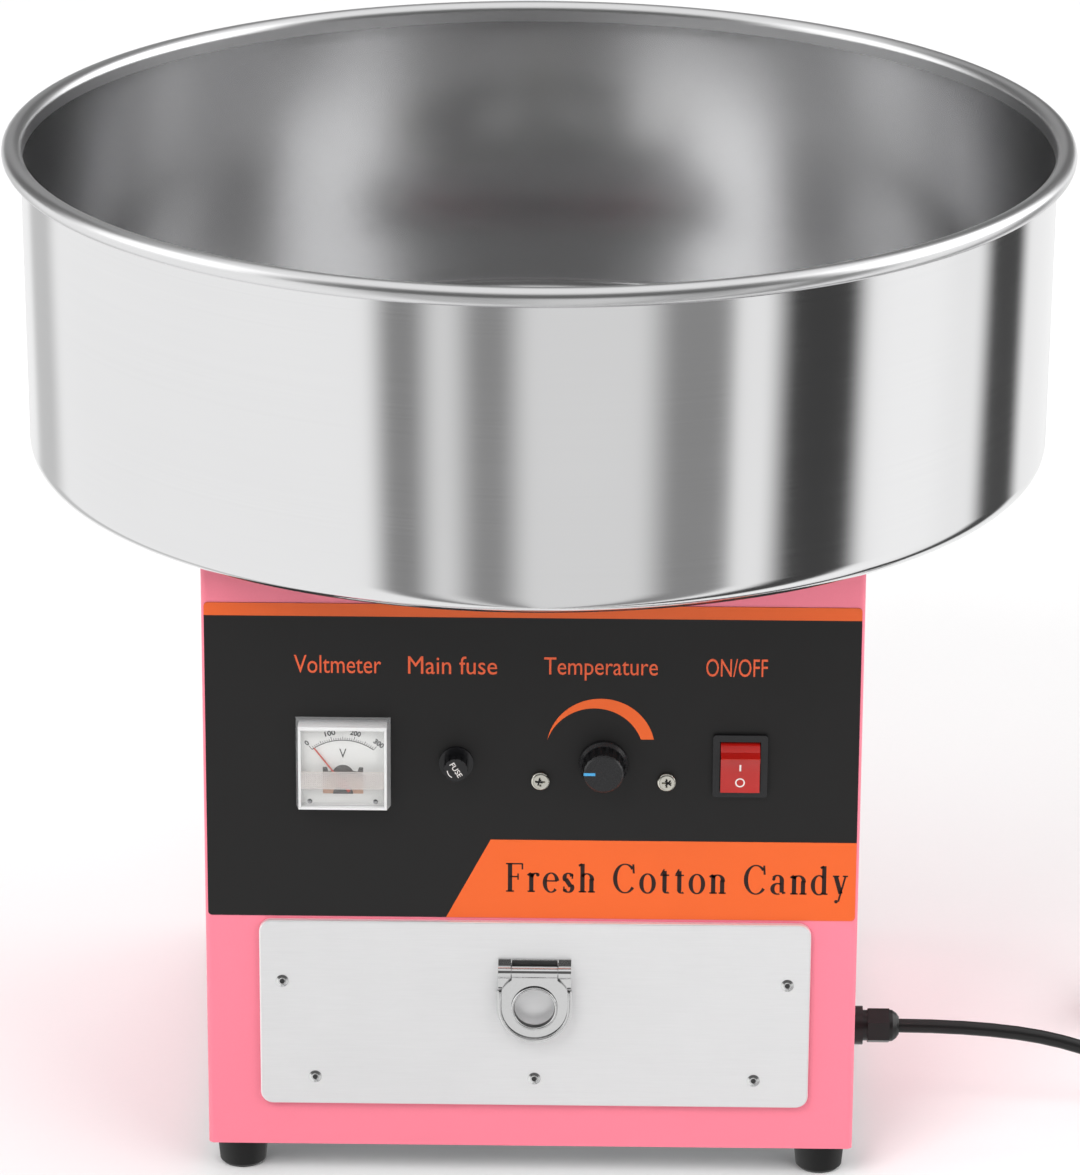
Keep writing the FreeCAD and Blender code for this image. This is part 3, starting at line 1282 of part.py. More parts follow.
def make_cord():
    """The cord's two free stretches, and the ring that its wound turns fill."""
    free = cord_tube("mains_cord", CORD_ROUTE) + cord_tube("cord_tail", TAIL_ROUTE)
    wound = CORD_LENGTH - free
    turn = math.pi * (COIL_TURN_IN_R + COIL_TURN_OUT_R)
    print(f"coil: {wound:.0f} mm in {wound / turn:.2f} turns")
    top = COIL_LOW_Z + CORD_D * (COIL_LAYERS + 0.35)
    wrap = CORD_D / 2 + 1.0
    coil = ring(
        COIL_TURN_OUT_R + wrap, COIL_TURN_IN_R - wrap, COIL_LOW_Z, top, "z", (COIL_X, COIL_Y)
    )
    save("cord_coil", coil)


def make_mains_plug():
    """A moulded two-pin plug that lies on its side, its pins along -X."""
    z = PLUG_HEAD_R
    head = PLUG_X
    profile = [
        (head, 0), (head, PLUG_HEAD_R), (head + 13, PLUG_HEAD_R), (head + 17, PLUG_HEAD_R - 3.5),
        (head + PLUG_L, 8.0), (head + PLUG_L + 2, 6.0), (head + PLUG_L + PLUG_RELIEF_L, CORD_D / 2 + 0.8),
        (head + PLUG_L + PLUG_RELIEF_L, 0),
    ]
    points = [vec(x, PLUG_Y + r, z) for x, r in profile]
    body = Part.Face(Part.makePolygon(points + points[:1])).revolve(vec(0, PLUG_Y, z), X_AXIS, 360)
    pins = []
    for side in (-1, 1):
        y = PLUG_Y + side * PLUG_PIN_SPAN / 2
        pin = rod(PLUG_PIN_R, head - PLUG_PIN_L, head + 1, "x", (y, z))
        tip = [e for e in pin.Edges if e.CenterOfMass.x < head - PLUG_PIN_L + 0.1]
        pins.append(pin.makeFillet(PLUG_PIN_R * 0.7, tip))
    save("mains_plug", joined([body] + pins))


# ---------------------------------------------------------------- build
make_cabinet_shell()
make_control_overlay()
make_top_deck()
make_rear_panel()
make_base_plate()
make_cabinet_screws()
make_feet()
make_foot_fasteners()
make_bowl()
make_bowl_seat()
make_bowl_collar()
make_spindle_housing()
make_spindle_bearings()
make_spindle_shaft()
make_pulleys()
make_drive_belt()
make_spindle_nuts()
make_slip_rings()
make_brush_holder()
make_carbon_brushes()
make_brush_springs()
make_motor()
make_motor_bracket()
make_drive_screws()
make_head_base()
make_perforated_band()
make_heater()
make_head_cover()
make_thumb_nuts()
make_meter()
make_fuse()
make_regulator()
make_heat_knob()
make_switch_housing()
make_power_rocker()
make_drawer_rails()
make_drawer_tray()
make_drawer_front()
make_drawer_rivets()
make_pull()
make_gland()
make_terminal_block()
make_cord()
make_mains_plug()
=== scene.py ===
"""The looks of a tabletop cotton candy machine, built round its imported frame.

Lengths are in metres. +Z is up, the control panel faces -Y, and the ground is at z = 0.
"""

import logging
import math
from dataclasses import dataclass
from enum import Enum
from typing import Iterable, Sequence

import bpy
from mathutils import Matrix, Vector
from mathutils.bvhtree import BVHTree


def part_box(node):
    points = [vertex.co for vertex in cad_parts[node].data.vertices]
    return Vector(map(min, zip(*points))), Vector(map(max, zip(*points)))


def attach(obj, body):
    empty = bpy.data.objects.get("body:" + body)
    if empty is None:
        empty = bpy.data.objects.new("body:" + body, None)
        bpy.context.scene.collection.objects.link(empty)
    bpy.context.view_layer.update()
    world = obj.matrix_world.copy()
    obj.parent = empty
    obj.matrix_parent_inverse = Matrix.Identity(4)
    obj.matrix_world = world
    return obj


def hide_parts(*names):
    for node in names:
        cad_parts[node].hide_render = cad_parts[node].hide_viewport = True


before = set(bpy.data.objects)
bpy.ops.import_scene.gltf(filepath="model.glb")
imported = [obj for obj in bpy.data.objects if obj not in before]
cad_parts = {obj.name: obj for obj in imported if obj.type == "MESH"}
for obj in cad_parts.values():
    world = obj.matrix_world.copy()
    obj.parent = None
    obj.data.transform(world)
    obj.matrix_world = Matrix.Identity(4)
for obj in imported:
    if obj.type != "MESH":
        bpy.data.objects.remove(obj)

LOG = logging.getLogger("cotton_candy_machine")
MM = 0.001
FULL_TURN = 2 * math.pi
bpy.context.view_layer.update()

Colour = tuple[float, float, float]
Place = tuple[float, float, float]
Flat = tuple[float, float]

UPWARD: Place = (0.0, 0.0, 1.0)
INTO_PANEL: Place = (0.0, 1.0, 0.0)
OUT_OF_PANEL: Place = (0.0, -1.0, 0.0)
# Nearly all of a noise pattern lies between these two values.
NOISE_LOW, NOISE_HIGH = 0.3, 0.7
# Length of a brushed mark, in widths.
BRUSH_STROKE = 45
# How much spun marks change on their way round.
SPUN_DRIFT = 0.8
# Vertices closer than this are one vertex.
MERGE_GAP = 0.000002


# ------------------------------------------------------------------ finishes
class Grain(Enum):
    """Which way the fine marks of a surface run."""

    EVEN = "even"
    ALONG_X = "along x"
    SPUN = "round the upright axis"


class NodeSheet:
    """A node tree, with short calls for the nodes that finishes and the studio use."""

    def __init__(self, tree: bpy.types.NodeTree) -> None:
        """Keeps the tree that nodes are added to."""
        self.tree = tree

    def add(self, kind: str, **values: object) -> bpy.types.Node:
        """Adds one node.

        Args:
            kind: The node's type name, without its ShaderNode prefix.
            values: Properties of the node; a name that starts with in_ sets that input.

        Returns:
            The new node.
        """
        node = self.tree.nodes.new("ShaderNode" + kind)
        for name, value in values.items():
            if name.startswith("in_"):
                node.inputs[name[3:].replace("_", " ")].default_value = value
            else:
                setattr(node, name, value)
        return node

    def link(self, source: bpy.types.NodeSocket, target: bpy.types.NodeSocket) -> None:
        """Joins an output to an input."""
        self.tree.links.new(source, target)

    def math(self, operation: str, *terms: object) -> bpy.types.NodeSocket:
        """A Math node on sockets or numbers.

        Args:
            operation: The name of the operation, such as MULTIPLY.
            terms: One, two or three sockets or numbers.

        Returns:
            The node's result.
        """
        node = self.add("Math", operation=operation)
        for slot, term in zip(node.inputs, terms):
            if isinstance(term, bpy.types.NodeSocket):
                self.link(term, slot)
            else:
                slot.default_value = term
        return node.outputs[0]

    def spread(self, source: bpy.types.NodeSocket, low: float, high: float) -> bpy.types.NodeSocket:
        """Maps a pattern's middle range on to low..high.

        Args:
            source: A pattern from 0 to 1.
            low: The result where the pattern is dark.
            high: The result where it is light.

        Returns:
            The mapped value.
        """
        node = self.add("MapRange", in_From_Min=NOISE_LOW, in_From_Max=NOISE_HIGH,
                        in_To_Min=low, in_To_Max=high)
        self.link(source, node.inputs["Value"])
        return node.outputs["Result"]


@dataclass(frozen=True)
class Finish:
    """How one surface looks: its colour, its gloss, and the marks that its making leaves.

    Attributes:
        name: The material's name.
        colour: Linear colour.
        roughness: Middle roughness.
        metallic: 1 for bare metal.
        grain: Which way fine marks run.
        grain_size: Width of the fine marks.
        shade: How far the colour strays either way, as a share.
        rub: How far the roughness strays either way.
        relief: Height of the fine marks in the surface.
        cloud_size: Size of the slow patches that handling leaves.
        coat: Weight of a clear coat.
        coat_roughness: Roughness of the coat.
        sheen_through: Share of light that passes into the material and out again.
        sheen_depth: How far that light goes.
    """

    name: str
    colour: Colour
    roughness: float
    metallic: float = 0.0
    grain: Grain = Grain.EVEN
    grain_size: float = 1.2 * MM
    shade: float = 0.04
    rub: float = 0.05
    relief: float = 0.00002
    cloud_size: float = 60 * MM
    coat: float = 0.0
    coat_roughness: float = 0.08
    sheen_through: float = 0.0
    sheen_depth: float = 3 * MM

    def material(self) -> bpy.types.Material:
        """The finish as a material, made once.

        Returns:
            The material of this name.
        """
        ready = bpy.data.materials.get(self.name)
        if ready is not None:
            return ready
        made = bpy.data.materials.new(self.name)
        made.use_nodes = True
        made.node_tree.nodes.clear()
        sheet = NodeSheet(made.node_tree)
        shader = sheet.add("BsdfPrincipled")
        output = sheet.add("OutputMaterial")
        sheet.link(shader.outputs["BSDF"], output.inputs["Surface"])
        shader.inputs["Metallic"].default_value = self.metallic
        shader.inputs["Coat Weight"].default_value = self.coat
        shader.inputs["Coat Roughness"].default_value = self.coat_roughness
        shader.inputs["Subsurface Weight"].default_value = self.sheen_through
        shader.inputs["Subsurface Scale"].default_value = self.sheen_depth
        self.work(sheet, shader)
        return made

    def work(self, sheet: NodeSheet, shader: bpy.types.Node) -> None:
        """Drives colour, gloss and relief from the surface's own marks.

        Args:
            sheet: The material's nodes.
            shader: Its surface shader.
        """
        marks = self.marks(sheet)
        clouds = self.clouds(sheet)
        both = sheet.math("MULTIPLY_ADD", clouds, 0.5, sheet.math("MULTIPLY", marks, 0.5))
        mix = sheet.add("Mix", data_type="RGBA")
        mix.inputs["A"].default_value = self.tinted(1 - self.shade)
        mix.inputs["B"].default_value = self.tinted(1 + self.shade)
        sheet.link(sheet.spread(both, 0.0, 1.0), mix.inputs["Factor"])
        sheet.link(mix.outputs["Result"], shader.inputs["Base Color"])
        sheet.link(self.gloss(sheet, both), shader.inputs["Roughness"])
        bump = sheet.add("Bump", in_Strength=1.0, in_Distance=self.relief)
        sheet.link(marks, bump.inputs["Height"])
        sheet.link(bump.outputs["Normal"], shader.inputs["Normal"])

    def gloss(self, sheet: NodeSheet, pattern: bpy.types.NodeSocket) -> bpy.types.NodeSocket:
        """The roughness over the surface.

        Args:
            sheet: The material's nodes.
            pattern: Marks and clouds together.

        Returns:
            The roughness.
        """
        return sheet.spread(pattern, max(0.02, self.roughness - self.rub), self.roughness + self.rub)

    def tinted(self, factor: float) -> tuple[float, float, float, float]:
        """The colour made lighter or darker, with full alpha."""
        red, green, blue = (min(1.0, part * factor) for part in self.colour)
        return red, green, blue, 1.0

    def marks(self, sheet: NodeSheet) -> bpy.types.NodeSocket:
        """Fine marks that run as the grain says.

        Args:
            sheet: The material's nodes.

        Returns:
            A pattern from 0 to 1.
        """
        place = sheet.add("TexCoord").outputs["Object"]
        fine = 1 / self.grain_size
        noise = sheet.add("TexNoise", in_Scale=1.0, in_Detail=3.0, in_Roughness=0.6)
        if self.grain is Grain.SPUN:
            noise.noise_dimensions = "4D"
            parts = sheet.add("SeparateXYZ")
            sheet.link(place, parts.inputs[0])
            x, y, z = parts.outputs
            squares = sheet.math("MULTIPLY_ADD", x, x, sheet.math("MULTIPLY", y, y))
            radius = sheet.math("MAXIMUM", sheet.math("SQRT", squares), MM)
            joined = sheet.add("CombineXYZ")
            for slot, part in zip(joined.inputs, (x, y)):
                share = sheet.math("DIVIDE", part, radius)
                sheet.link(sheet.math("MULTIPLY", share, SPUN_DRIFT), slot)
            sheet.link(sheet.math("MULTIPLY", z, fine), joined.inputs[2])
            sheet.link(joined.outputs[0], noise.inputs["Vector"])
            sheet.link(sheet.math("MULTIPLY", radius, fine), noise.inputs["W"])
            return noise.outputs[0]
        along = fine / BRUSH_STROKE if self.grain is Grain.ALONG_X else fine
        mapping = sheet.add("Mapping", in_Scale=(along, fine, fine))
        sheet.link(place, mapping.inputs["Vector"])
        sheet.link(mapping.outputs["Vector"], noise.inputs["Vector"])
        return noise.outputs[0]

    def clouds(self, sheet: NodeSheet) -> bpy.types.NodeSocket:
        """Slow patches, as wiping and handling leave them.

        Args:
            sheet: The material's nodes.

        Returns:
            A pattern from 0 to 1.
        """
        place = sheet.add("TexCoord").outputs["Object"]
        noise = sheet.add("TexNoise", in_Scale=1 / self.cloud_size, in_Detail=2.0)
        sheet.link(place, noise.inputs["Vector"])
        return noise.outputs[0]


@dataclass(frozen=True)
class SpunSteel(Finish):
    """Polished sheet, turned on a lathe, whose rolled rim stays duller than its walls.

    Attributes:
        rim_from: Height above which the metal is the rolled rim.
        rim_roughness: Roughness of the rim.
        floor_until: Height below which the metal is the bowl's floor.
        floor_roughness: Roughness of the floor.
        inner_roughness: Roughness of the faces that look at the axis.
    """

    rim_from: float = 0.0
    rim_roughness: float = 0.3
    inner_roughness: float = 0.2
    floor_until: float = 0.0
    floor_roughness: float = 0.3

    def gloss(self, sheet: NodeSheet, pattern: bpy.types.NodeSocket) -> bpy.types.NodeSocket:
        """The roughness of walls, floor and rim, each with its own strays.

        Args:
            sheet: The material's nodes.
            pattern: Marks and clouds together.

        Returns:
            The roughness.
        """
        parts = sheet.add("SeparateXYZ")
        sheet.link(sheet.add("TexCoord").outputs["Object"], parts.inputs[0])
        height = parts.outputs[2]
        walls = super().gloss(sheet, pattern)
        at_rim = sheet.math("GREATER_THAN", height, self.rim_from)
        at_floor = sheet.math("LESS_THAN", height, self.floor_until)
        rim = sheet.math("MULTIPLY", at_rim, self.rim_roughness - self.roughness)
        floor = sheet.math("MULTIPLY", at_floor, self.floor_roughness - self.roughness)
        outward = sheet.add("VectorMath", operation="DOT_PRODUCT")
        sheet.link(sheet.add("TexCoord").outputs["Object"], outward.inputs[0])
        level = sheet.add("VectorMath", operation="MULTIPLY")
        sheet.link(sheet.add("NewGeometry").outputs["True Normal"], level.inputs[0])
        level.inputs[1].default_value = (1, 1, 0)
        sheet.link(level.outputs[0], outward.inputs[1])
        at_wall = sheet.math("SUBTRACT", 1.0, sheet.math("MAXIMUM", at_rim, at_floor))
        faces_in = sheet.math("LESS_THAN", outward.outputs["Value"], 0.0)
        at_inside = sheet.math("MULTIPLY", at_wall, faces_in)
        inside = sheet.math("MULTIPLY", at_inside, self.inner_roughness - self.roughness)
        return sheet.math("ADD", sheet.math("ADD", walls, inside), sheet.math("ADD", rim, floor))


@dataclass(frozen=True)
class ClearMoulding(Finish):
    """Clear plastic: it shows what lies behind it, and more of itself at its edges.

    Attributes:
        face_cover: How much the plastic covers what is behind it, seen straight on.
        edge_cover: The same, seen along its surface.
        edge_reach: How early the cover grows as the surface turns away.
    """

    face_cover: float = 0.08
    edge_cover: float = 0.75
    edge_reach: float = 0.35

    def work(self, sheet: NodeSheet, shader: bpy.types.Node) -> None:
        """Adds the cover to the usual marks.

        Args:
            sheet: The material's nodes.
            shader: Its surface shader.
        """
        super().work(sheet, shader)
        facing = sheet.add("LayerWeight", in_Blend=self.edge_reach)
        ramp = sheet.add("MapRange", in_To_Min=self.face_cover, in_To_Max=self.edge_cover)
        sheet.link(facing.outputs["Facing"], ramp.inputs["Value"])
        sheet.link(ramp.outputs["Result"], shader.inputs["Alpha"])


@dataclass(frozen=True)
class PrismedMoulding(ClearMoulding):
    """Clear plastic moulded with a fine grid of prisms.

    Attributes:
        pitch: Distance from one prism to the next.
        valley_cover: Factor on the cover between the prisms.
        crest_cover: Factor on the cover at their middles.
    """

    pitch: float = 1.0 * MM
    valley_cover: float = 1.5
    crest_cover: float = 0.55

    def work(self, sheet: NodeSheet, shader: bpy.types.Node) -> None:
        """Lets the valleys cover more of what is behind them than the prisms do.

        Args:
            sheet: The material's nodes.
            shader: Its surface shader.
        """
        super().work(sheet, shader)
        dots = sheet.spread(self.marks(sheet), self.valley_cover, self.crest_cover)
        plain = shader.inputs["Alpha"].links[0].from_socket
        sheet.link(sheet.math("MULTIPLY", plain, dots), shader.inputs["Alpha"])

    def marks(self, sheet: NodeSheet) -> bpy.types.NodeSocket:
        """The grid of prisms.

        Args:
            sheet: The material's nodes.

        Returns:
            A pattern from 0 to 1.
        """
        parts = sheet.add("SeparateXYZ")
        sheet.link(sheet.add("TexCoord").outputs["Object"], parts.inputs[0])
        waves = []
        for axis in (0, 2):
            angle = sheet.math("MULTIPLY", parts.outputs[axis], FULL_TURN / self.pitch)
            waves.append(sheet.math("MULTIPLY_ADD", sheet.math("SINE", angle), 0.5, 0.5))
        return sheet.math("MULTIPLY", waves[0], waves[1])


class Finishes:
    """Every finish of the machine, by what it is on."""

    powder_coat = Finish("pink_powder_coat", (0.88, 0.205, 0.285), 0.42, grain_size=0.7 * MM,
                         shade=0.025, rub=0.06, relief=0.00003, coat=0.15)
    panel_film = Finish("black_panel_film", (0.0085, 0.0079, 0.0078), 0.55, grain_size=0.25 * MM,
                        shade=0.12, rub=0.06, relief=0.00001)
    orange_ink = Finish("orange_panel_ink", (0.78, 0.112, 0.010), 0.48, grain_size=0.25 * MM,
                        shade=0.03, rub=0.05, relief=0.00001)
    label_ink = Finish("orange_label_ink", (0.76, 0.105, 0.028), 0.5, grain_size=0.25 * MM, shade=0.05)
    title_ink = Finish("dark_title_ink", (0.018, 0.006, 0.004), 0.5, grain_size=0.25 * MM, shade=0.1)
    white_ink = Finish("white_mark_ink", (0.78, 0.74, 0.72), 0.5, grain_size=0.25 * MM, shade=0.05)
    black_ink = Finish("black_dial_ink", (0.010, 0.010, 0.010), 0.6, grain_size=0.25 * MM, shade=0.1)
    blue_paint = Finish("blue_pointer_paint", (0.055, 0.33, 0.62), 0.4, grain_size=0.3 * MM, shade=0.06)
    bowl_steel = SpunSteel("polished_bowl_steel", (0.80, 0.80, 0.805), 0.11, metallic=1.0,
                           grain=Grain.SPUN, grain_size=0.8 * MM, shade=0.02, rub=0.025,
                           relief=0.0000006, cloud_size=120 * MM, rim_from=474.4 * MM,
                           rim_roughness=0.30, floor_until=326.2 * MM, floor_roughness=0.26,
                           inner_roughness=0.19)
    head_steel = Finish("turned_head_steel", (0.70, 0.70, 0.70), 0.26, metallic=1.0, grain=Grain.SPUN,
                        grain_size=0.5 * MM, shade=0.05, rub=0.07, relief=0.000004)
    cast_alloy = Finish("cast_head_alloy", (0.60, 0.61, 0.62), 0.42, metallic=1.0,
                        grain_size=0.8 * MM, shade=0.08, rub=0.1, relief=0.00004)
    drawer_steel = Finish("brushed_drawer_steel", (0.92, 0.92, 0.925), 0.36, metallic=0.65,
                          grain=Grain.ALONG_X, grain_size=0.35 * MM, shade=0.035, rub=0.06,
                          relief=0.000004, cloud_size=45 * MM)
    rivet_alloy = Finish("bright_rivet_alloy", (0.80, 0.80, 0.80), 0.22, metallic=1.0,
                         grain_size=0.4 * MM, shade=0.05, relief=0.000008)
    bright_plate = Finish("bright_pull_plating", (0.80, 0.80, 0.80), 0.09, metallic=1.0,
                          grain_size=2 * MM, shade=0.03, rub=0.03, relief=0.000005, cloud_size=15 * MM)
    zinc = Finish("zinc_plated_sheet", (0.55, 0.56, 0.57), 0.36, metallic=1.0, grain_size=2.5 * MM,
                  shade=0.10, rub=0.08, relief=0.00001)
    screw_plate = Finish("warm_screw_plating", (0.78, 0.76, 0.68), 0.22, metallic=1.0,
                         grain_size=0.4 * MM, shade=0.06, relief=0.00001, cloud_size=4 * MM)
    ground_steel = Finish("ground_shaft_steel", (0.55, 0.55, 0.56), 0.25, metallic=1.0,
                          grain_size=0.4 * MM, shade=0.05)
    sheath = Finish("oxidised_heater_sheath", (0.20, 0.18, 0.16), 0.55, metallic=1.0,
                    grain_size=1.5 * MM, shade=0.2, rub=0.1, relief=0.00003)
    copper = Finish("turned_ring_copper", (0.80, 0.42, 0.26), 0.3, metallic=1.0, shade=0.06)
    phenolic = Finish("brown_phenolic", (0.16, 0.07, 0.035), 0.45, grain_size=0.6 * MM, shade=0.15)
    graphite = Finish("carbon_brush", (0.03, 0.03, 0.032), 0.5, grain_size=0.3 * MM, shade=0.15)
    windings = Finish("varnished_windings", (0.30, 0.12, 0.05), 0.3, grain_size=0.6 * MM, shade=0.2)
    motor_enamel = Finish("black_motor_enamel", (0.03, 0.03, 0.032), 0.4, shade=0.1, relief=0.00004)
    gloss_black = Finish("gloss_black_moulding", (0.008, 0.008, 0.009), 0.16, grain_size=0.5 * MM,
                         shade=0.15, rub=0.05, relief=0.000006)
    knob_black = Finish("knob_black_moulding", (0.011, 0.011, 0.012), 0.27, grain_size=0.5 * MM,
                        shade=0.15, rub=0.06, relief=0.00001)
    nylon = Finish("black_gland_nylon", (0.009, 0.009, 0.009), 0.34, grain_size=0.5 * MM, shade=0.15,
                   rub=0.07, relief=0.00001)
    rubber = Finish("black_foot_rubber", (0.0035, 0.0035, 0.0035), 0.55, grain_size=0.7 * MM, shade=0.2,
                    rub=0.08, relief=0.00003)
    cord_pvc = Finish("cord_sheath_pvc", (0.009, 0.009, 0.009), 0.36, grain_size=0.6 * MM, shade=0.15,
                      rub=0.06, relief=0.00001)
    dial_card = Finish("white_dial_card", (0.84, 0.84, 0.82), 0.6, grain_size=0.2 * MM, shade=0.02)
    lens = ClearMoulding("clear_meter_lens", (0.90, 0.91, 0.92), 0.06, grain_size=2 * MM, shade=0.01,
                         rub=0.02, relief=0.000004, face_cover=0.03, edge_cover=0.7)
    lens_prisms = PrismedMoulding("prismed_lens_face", (0.93, 0.86, 0.82), 0.22, shade=0.3, rub=0.1,
                                  relief=0.0002, face_cover=0.34, edge_cover=0.8)
    lens_edge = ClearMoulding("lens_edge", (0.88, 0.88, 0.88), 0.12, grain_size=2 * MM, shade=0.03,
                              face_cover=0.72, edge_cover=0.9)
    fuse_glass = ClearMoulding("fuse_tube_glass", (0.85, 0.88, 0.88), 0.05, shade=0.01, face_cover=0.2)
    needle_red = Finish("red_needle_paint", (0.62, 0.05, 0.02), 0.45, grain_size=0.3 * MM, shade=0.05)
    rocker_red = Finish("clear_red_rocker", (0.43, 0.009, 0.006), 0.2, grain_size=0.6 * MM, shade=0.10,
                        rub=0.05, relief=0.000008, coat=0.4, sheen_through=0.08)
    regulator = Finish("regulator_moulding", (0.55, 0.54, 0.50), 0.5, shade=0.06)
    # Painted shade: near-black steel laid where there is only shade, over the pull's hinge, on the wall
    # of its finger hole and in the rivets' hollow cores.
    shaded_steel = Finish("steel_painted_in_shade", (0.06, 0.06, 0.06), 0.35, metallic=0.6, grain_size=0.5 * MM,
                          shade=0.2)
    movement = Finish("dark_meter_movement", (0.045, 0.035, 0.03), 0.45, grain_size=0.5 * MM, shade=0.3)
    coil_wire = Finish("meter_coil_wire", (0.62, 0.36, 0.24), 0.4, metallic=0.6, shade=0.12)
    floor = Finish("pale_studio_floor", (0.86, 0.86, 0.86), 0.6, grain_size=3 * MM, shade=0.01,
                   rub=0.04, relief=0.00001, cloud_size=0.8)


# ------------------------------------------------------------------ modelling steps
class Bench:
    """Steps of mesh work that the sub-assemblies share. Each leaves nothing else selected."""

    @staticmethod
    def clear() -> None:
        """Goes back to object mode with nothing selected."""
        active = bpy.context.view_layer.objects.active
        if active is not None and active.mode != "OBJECT":
            bpy.ops.object.mode_set(mode="OBJECT")
        bpy.ops.object.select_all(action="DESELECT")

    @staticmethod
    def point(name: str, at: Sequence[float]) -> bpy.types.Object:
        """Starts a piece as one selected vertex, in edit mode.

        Args:
            name: The piece's name.
            at: Where the vertex is.

        Returns:
            The piece.
        """
        Bench.clear()
        bpy.ops.mesh.primitive_plane_add(size=MM, location=at)
        piece = bpy.context.object
        piece.name = name
        bpy.ops.object.transform_apply(location=True, rotation=True, scale=True)
        bpy.ops.object.mode_set(mode="EDIT")
        bpy.ops.mesh.select_mode(type="VERT")
        bpy.ops.mesh.select_all(action="SELECT")
        bpy.ops.mesh.merge(type="CENTER")
        return piece

    @staticmethod
    def draw(points: Sequence[Vector]) -> None:
        """Extrudes the selected vertex along a line of points, whose first is where it is."""
        for start, end in zip(points, points[1:]):
            bpy.ops.mesh.extrude_region_move(TRANSFORM_OT_translate={"value": end - start})

    @staticmethod
    def settle(piece: bpy.types.Object, angle: float = 35.0) -> bpy.types.Object:
        """Merges doubles, turns faces outwards and smooths what is rounder than an angle.

        Args:
            piece: The piece, in either mode.
            angle: The sharpest angle that is still shaded smooth, in degrees.

        Returns:
            The piece, in object mode.
        """
        bpy.context.view_layer.objects.active = piece
        bpy.ops.object.mode_set(mode="EDIT")
        bpy.ops.mesh.select_all(action="SELECT")
        bpy.ops.mesh.remove_doubles(threshold=MERGE_GAP)
        bpy.ops.mesh.normals_make_consistent(inside=False)
        bpy.ops.object.mode_set(mode="OBJECT")
        bpy.ops.object.select_all(action="DESELECT")
        piece.select_set(True)
        bpy.ops.object.shade_smooth_by_angle(angle=math.radians(angle))
        return piece

    @staticmethod
    def turned(name: str, profile: Sequence[Flat], steps: int, at: Place = (0.0, 0.0, 0.0),
               axis: Place = UPWARD) -> bpy.types.Object:
        """Turns an outline about an axis.

        Args:
            name: The piece's name.
            profile: Points of (radius, distance along the axis).
            steps: Number of facets round.
            at: A point on the axis.
            axis: The axis: Z, Y or X.

        Returns:
            The piece.
        """
        along = Vector(axis)
        out = Vector((0, 0, 1)) if axis[2] == 0 else Vector((1, 0, 0))
        line = [Vector(at) + out * r + along * h for r, h in profile]
        piece = Bench.point(name, line[0])
        Bench.draw(line)
        bpy.ops.mesh.select_all(action="SELECT")
        bpy.ops.mesh.spin(steps=steps, dupli=False, angle=FULL_TURN, center=at, axis=axis)
        return Bench.settle(piece)

    @staticmethod
    def plate(name: str, outline: Sequence[Flat], front: float, thick: float) -> bpy.types.Object:
        """A flat plate that faces -Y.

        Args:
            name: The piece's name.
            outline: Its corners, as (x, z).
            front: The y of its front face.
            thick: Its thickness.

        Returns:
            The piece.
        """
        line = [Vector((x, front + thick, z)) for x, z in outline]
        piece = Bench.point(name, line[0])
        Bench.draw(line)
        bpy.ops.mesh.select_all(action="SELECT")
        bpy.ops.mesh.edge_face_add()
        bpy.ops.mesh.extrude_region_move(TRANSFORM_OT_translate={"value": Vector((0, -thick, 0))})
        return Bench.settle(piece, 20.0)

    @staticmethod
    def block(name: str, low: Sequence[float], high: Sequence[float], bevel: float,
              segments: int = 2) -> bpy.types.Object:
        """A block with every edge eased.

        Args:
            name: The piece's name.
            low: Its lowest corner.
            high: Its highest corner.
            bevel: Width of the eased edge.
            segments: Facets across the edge.

        Returns:
            The piece.
        """
        Bench.clear()
        a, b = Vector(low), Vector(high)
        bpy.ops.mesh.primitive_cube_add(size=1.0, location=(a + b) / 2, scale=b - a)
        piece = bpy.context.object
        piece.name = name
        bpy.ops.object.transform_apply(location=True, rotation=True, scale=True)
        bpy.ops.object.mode_set(mode="EDIT")
        bpy.ops.mesh.select_all(action="SELECT")
        bpy.ops.mesh.bevel(offset=bevel, segments=segments, affect="EDGES")
        return Bench.settle(piece)

    @staticmethod
    def arc(centre: Flat, radius: float, start: float, end: float, count: int) -> list[Flat]:
        """Points on an arc.

        Args:
            centre: The arc's centre.
            radius: Its radius.
            start: First angle in degrees, from the first axis towards the second.
            end: Last angle.
            count: Number of points, both ends included.

        Returns:
            The points.
        """
        points = []
        for i in range(count):
            angle = math.radians(start + (end - start) * i / (count - 1))
            points.append((centre[0] + radius * math.cos(angle), centre[1] + radius * math.sin(angle)))
        return points

    @staticmethod
    def lay_on(piece: bpy.types.Object, node: str, thick: float) -> bpy.types.Object:
        """Lays a thin print on a node's front, so that it follows the surface.

        Args:
            piece: The print, whose front faces -Y.
            node: The frame's node under it.
            thick: How far the print stands out.

        Returns:
            The print.
        """
        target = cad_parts[node]
        tree = BVHTree.FromObject(target, bpy.context.evaluated_depsgraph_get())
        world = target.matrix_world
        inward = world.inverted()
        ahead = inward.to_3x3() @ Vector((0, 1, 0))
        depths = [vertex.co.y for vertex in piece.data.vertices]
        middle = (min(depths) + max(depths)) / 2
        for vertex in piece.data.vertices:
            hit = tree.ray_cast(inward @ Vector((vertex.co.x, -1.0, vertex.co.z)), ahead)[0]
            if hit is not None:
                surface = (world @ hit).y
                vertex.co.y = surface - thick if vertex.co.y < middle else surface + thick
        return piece

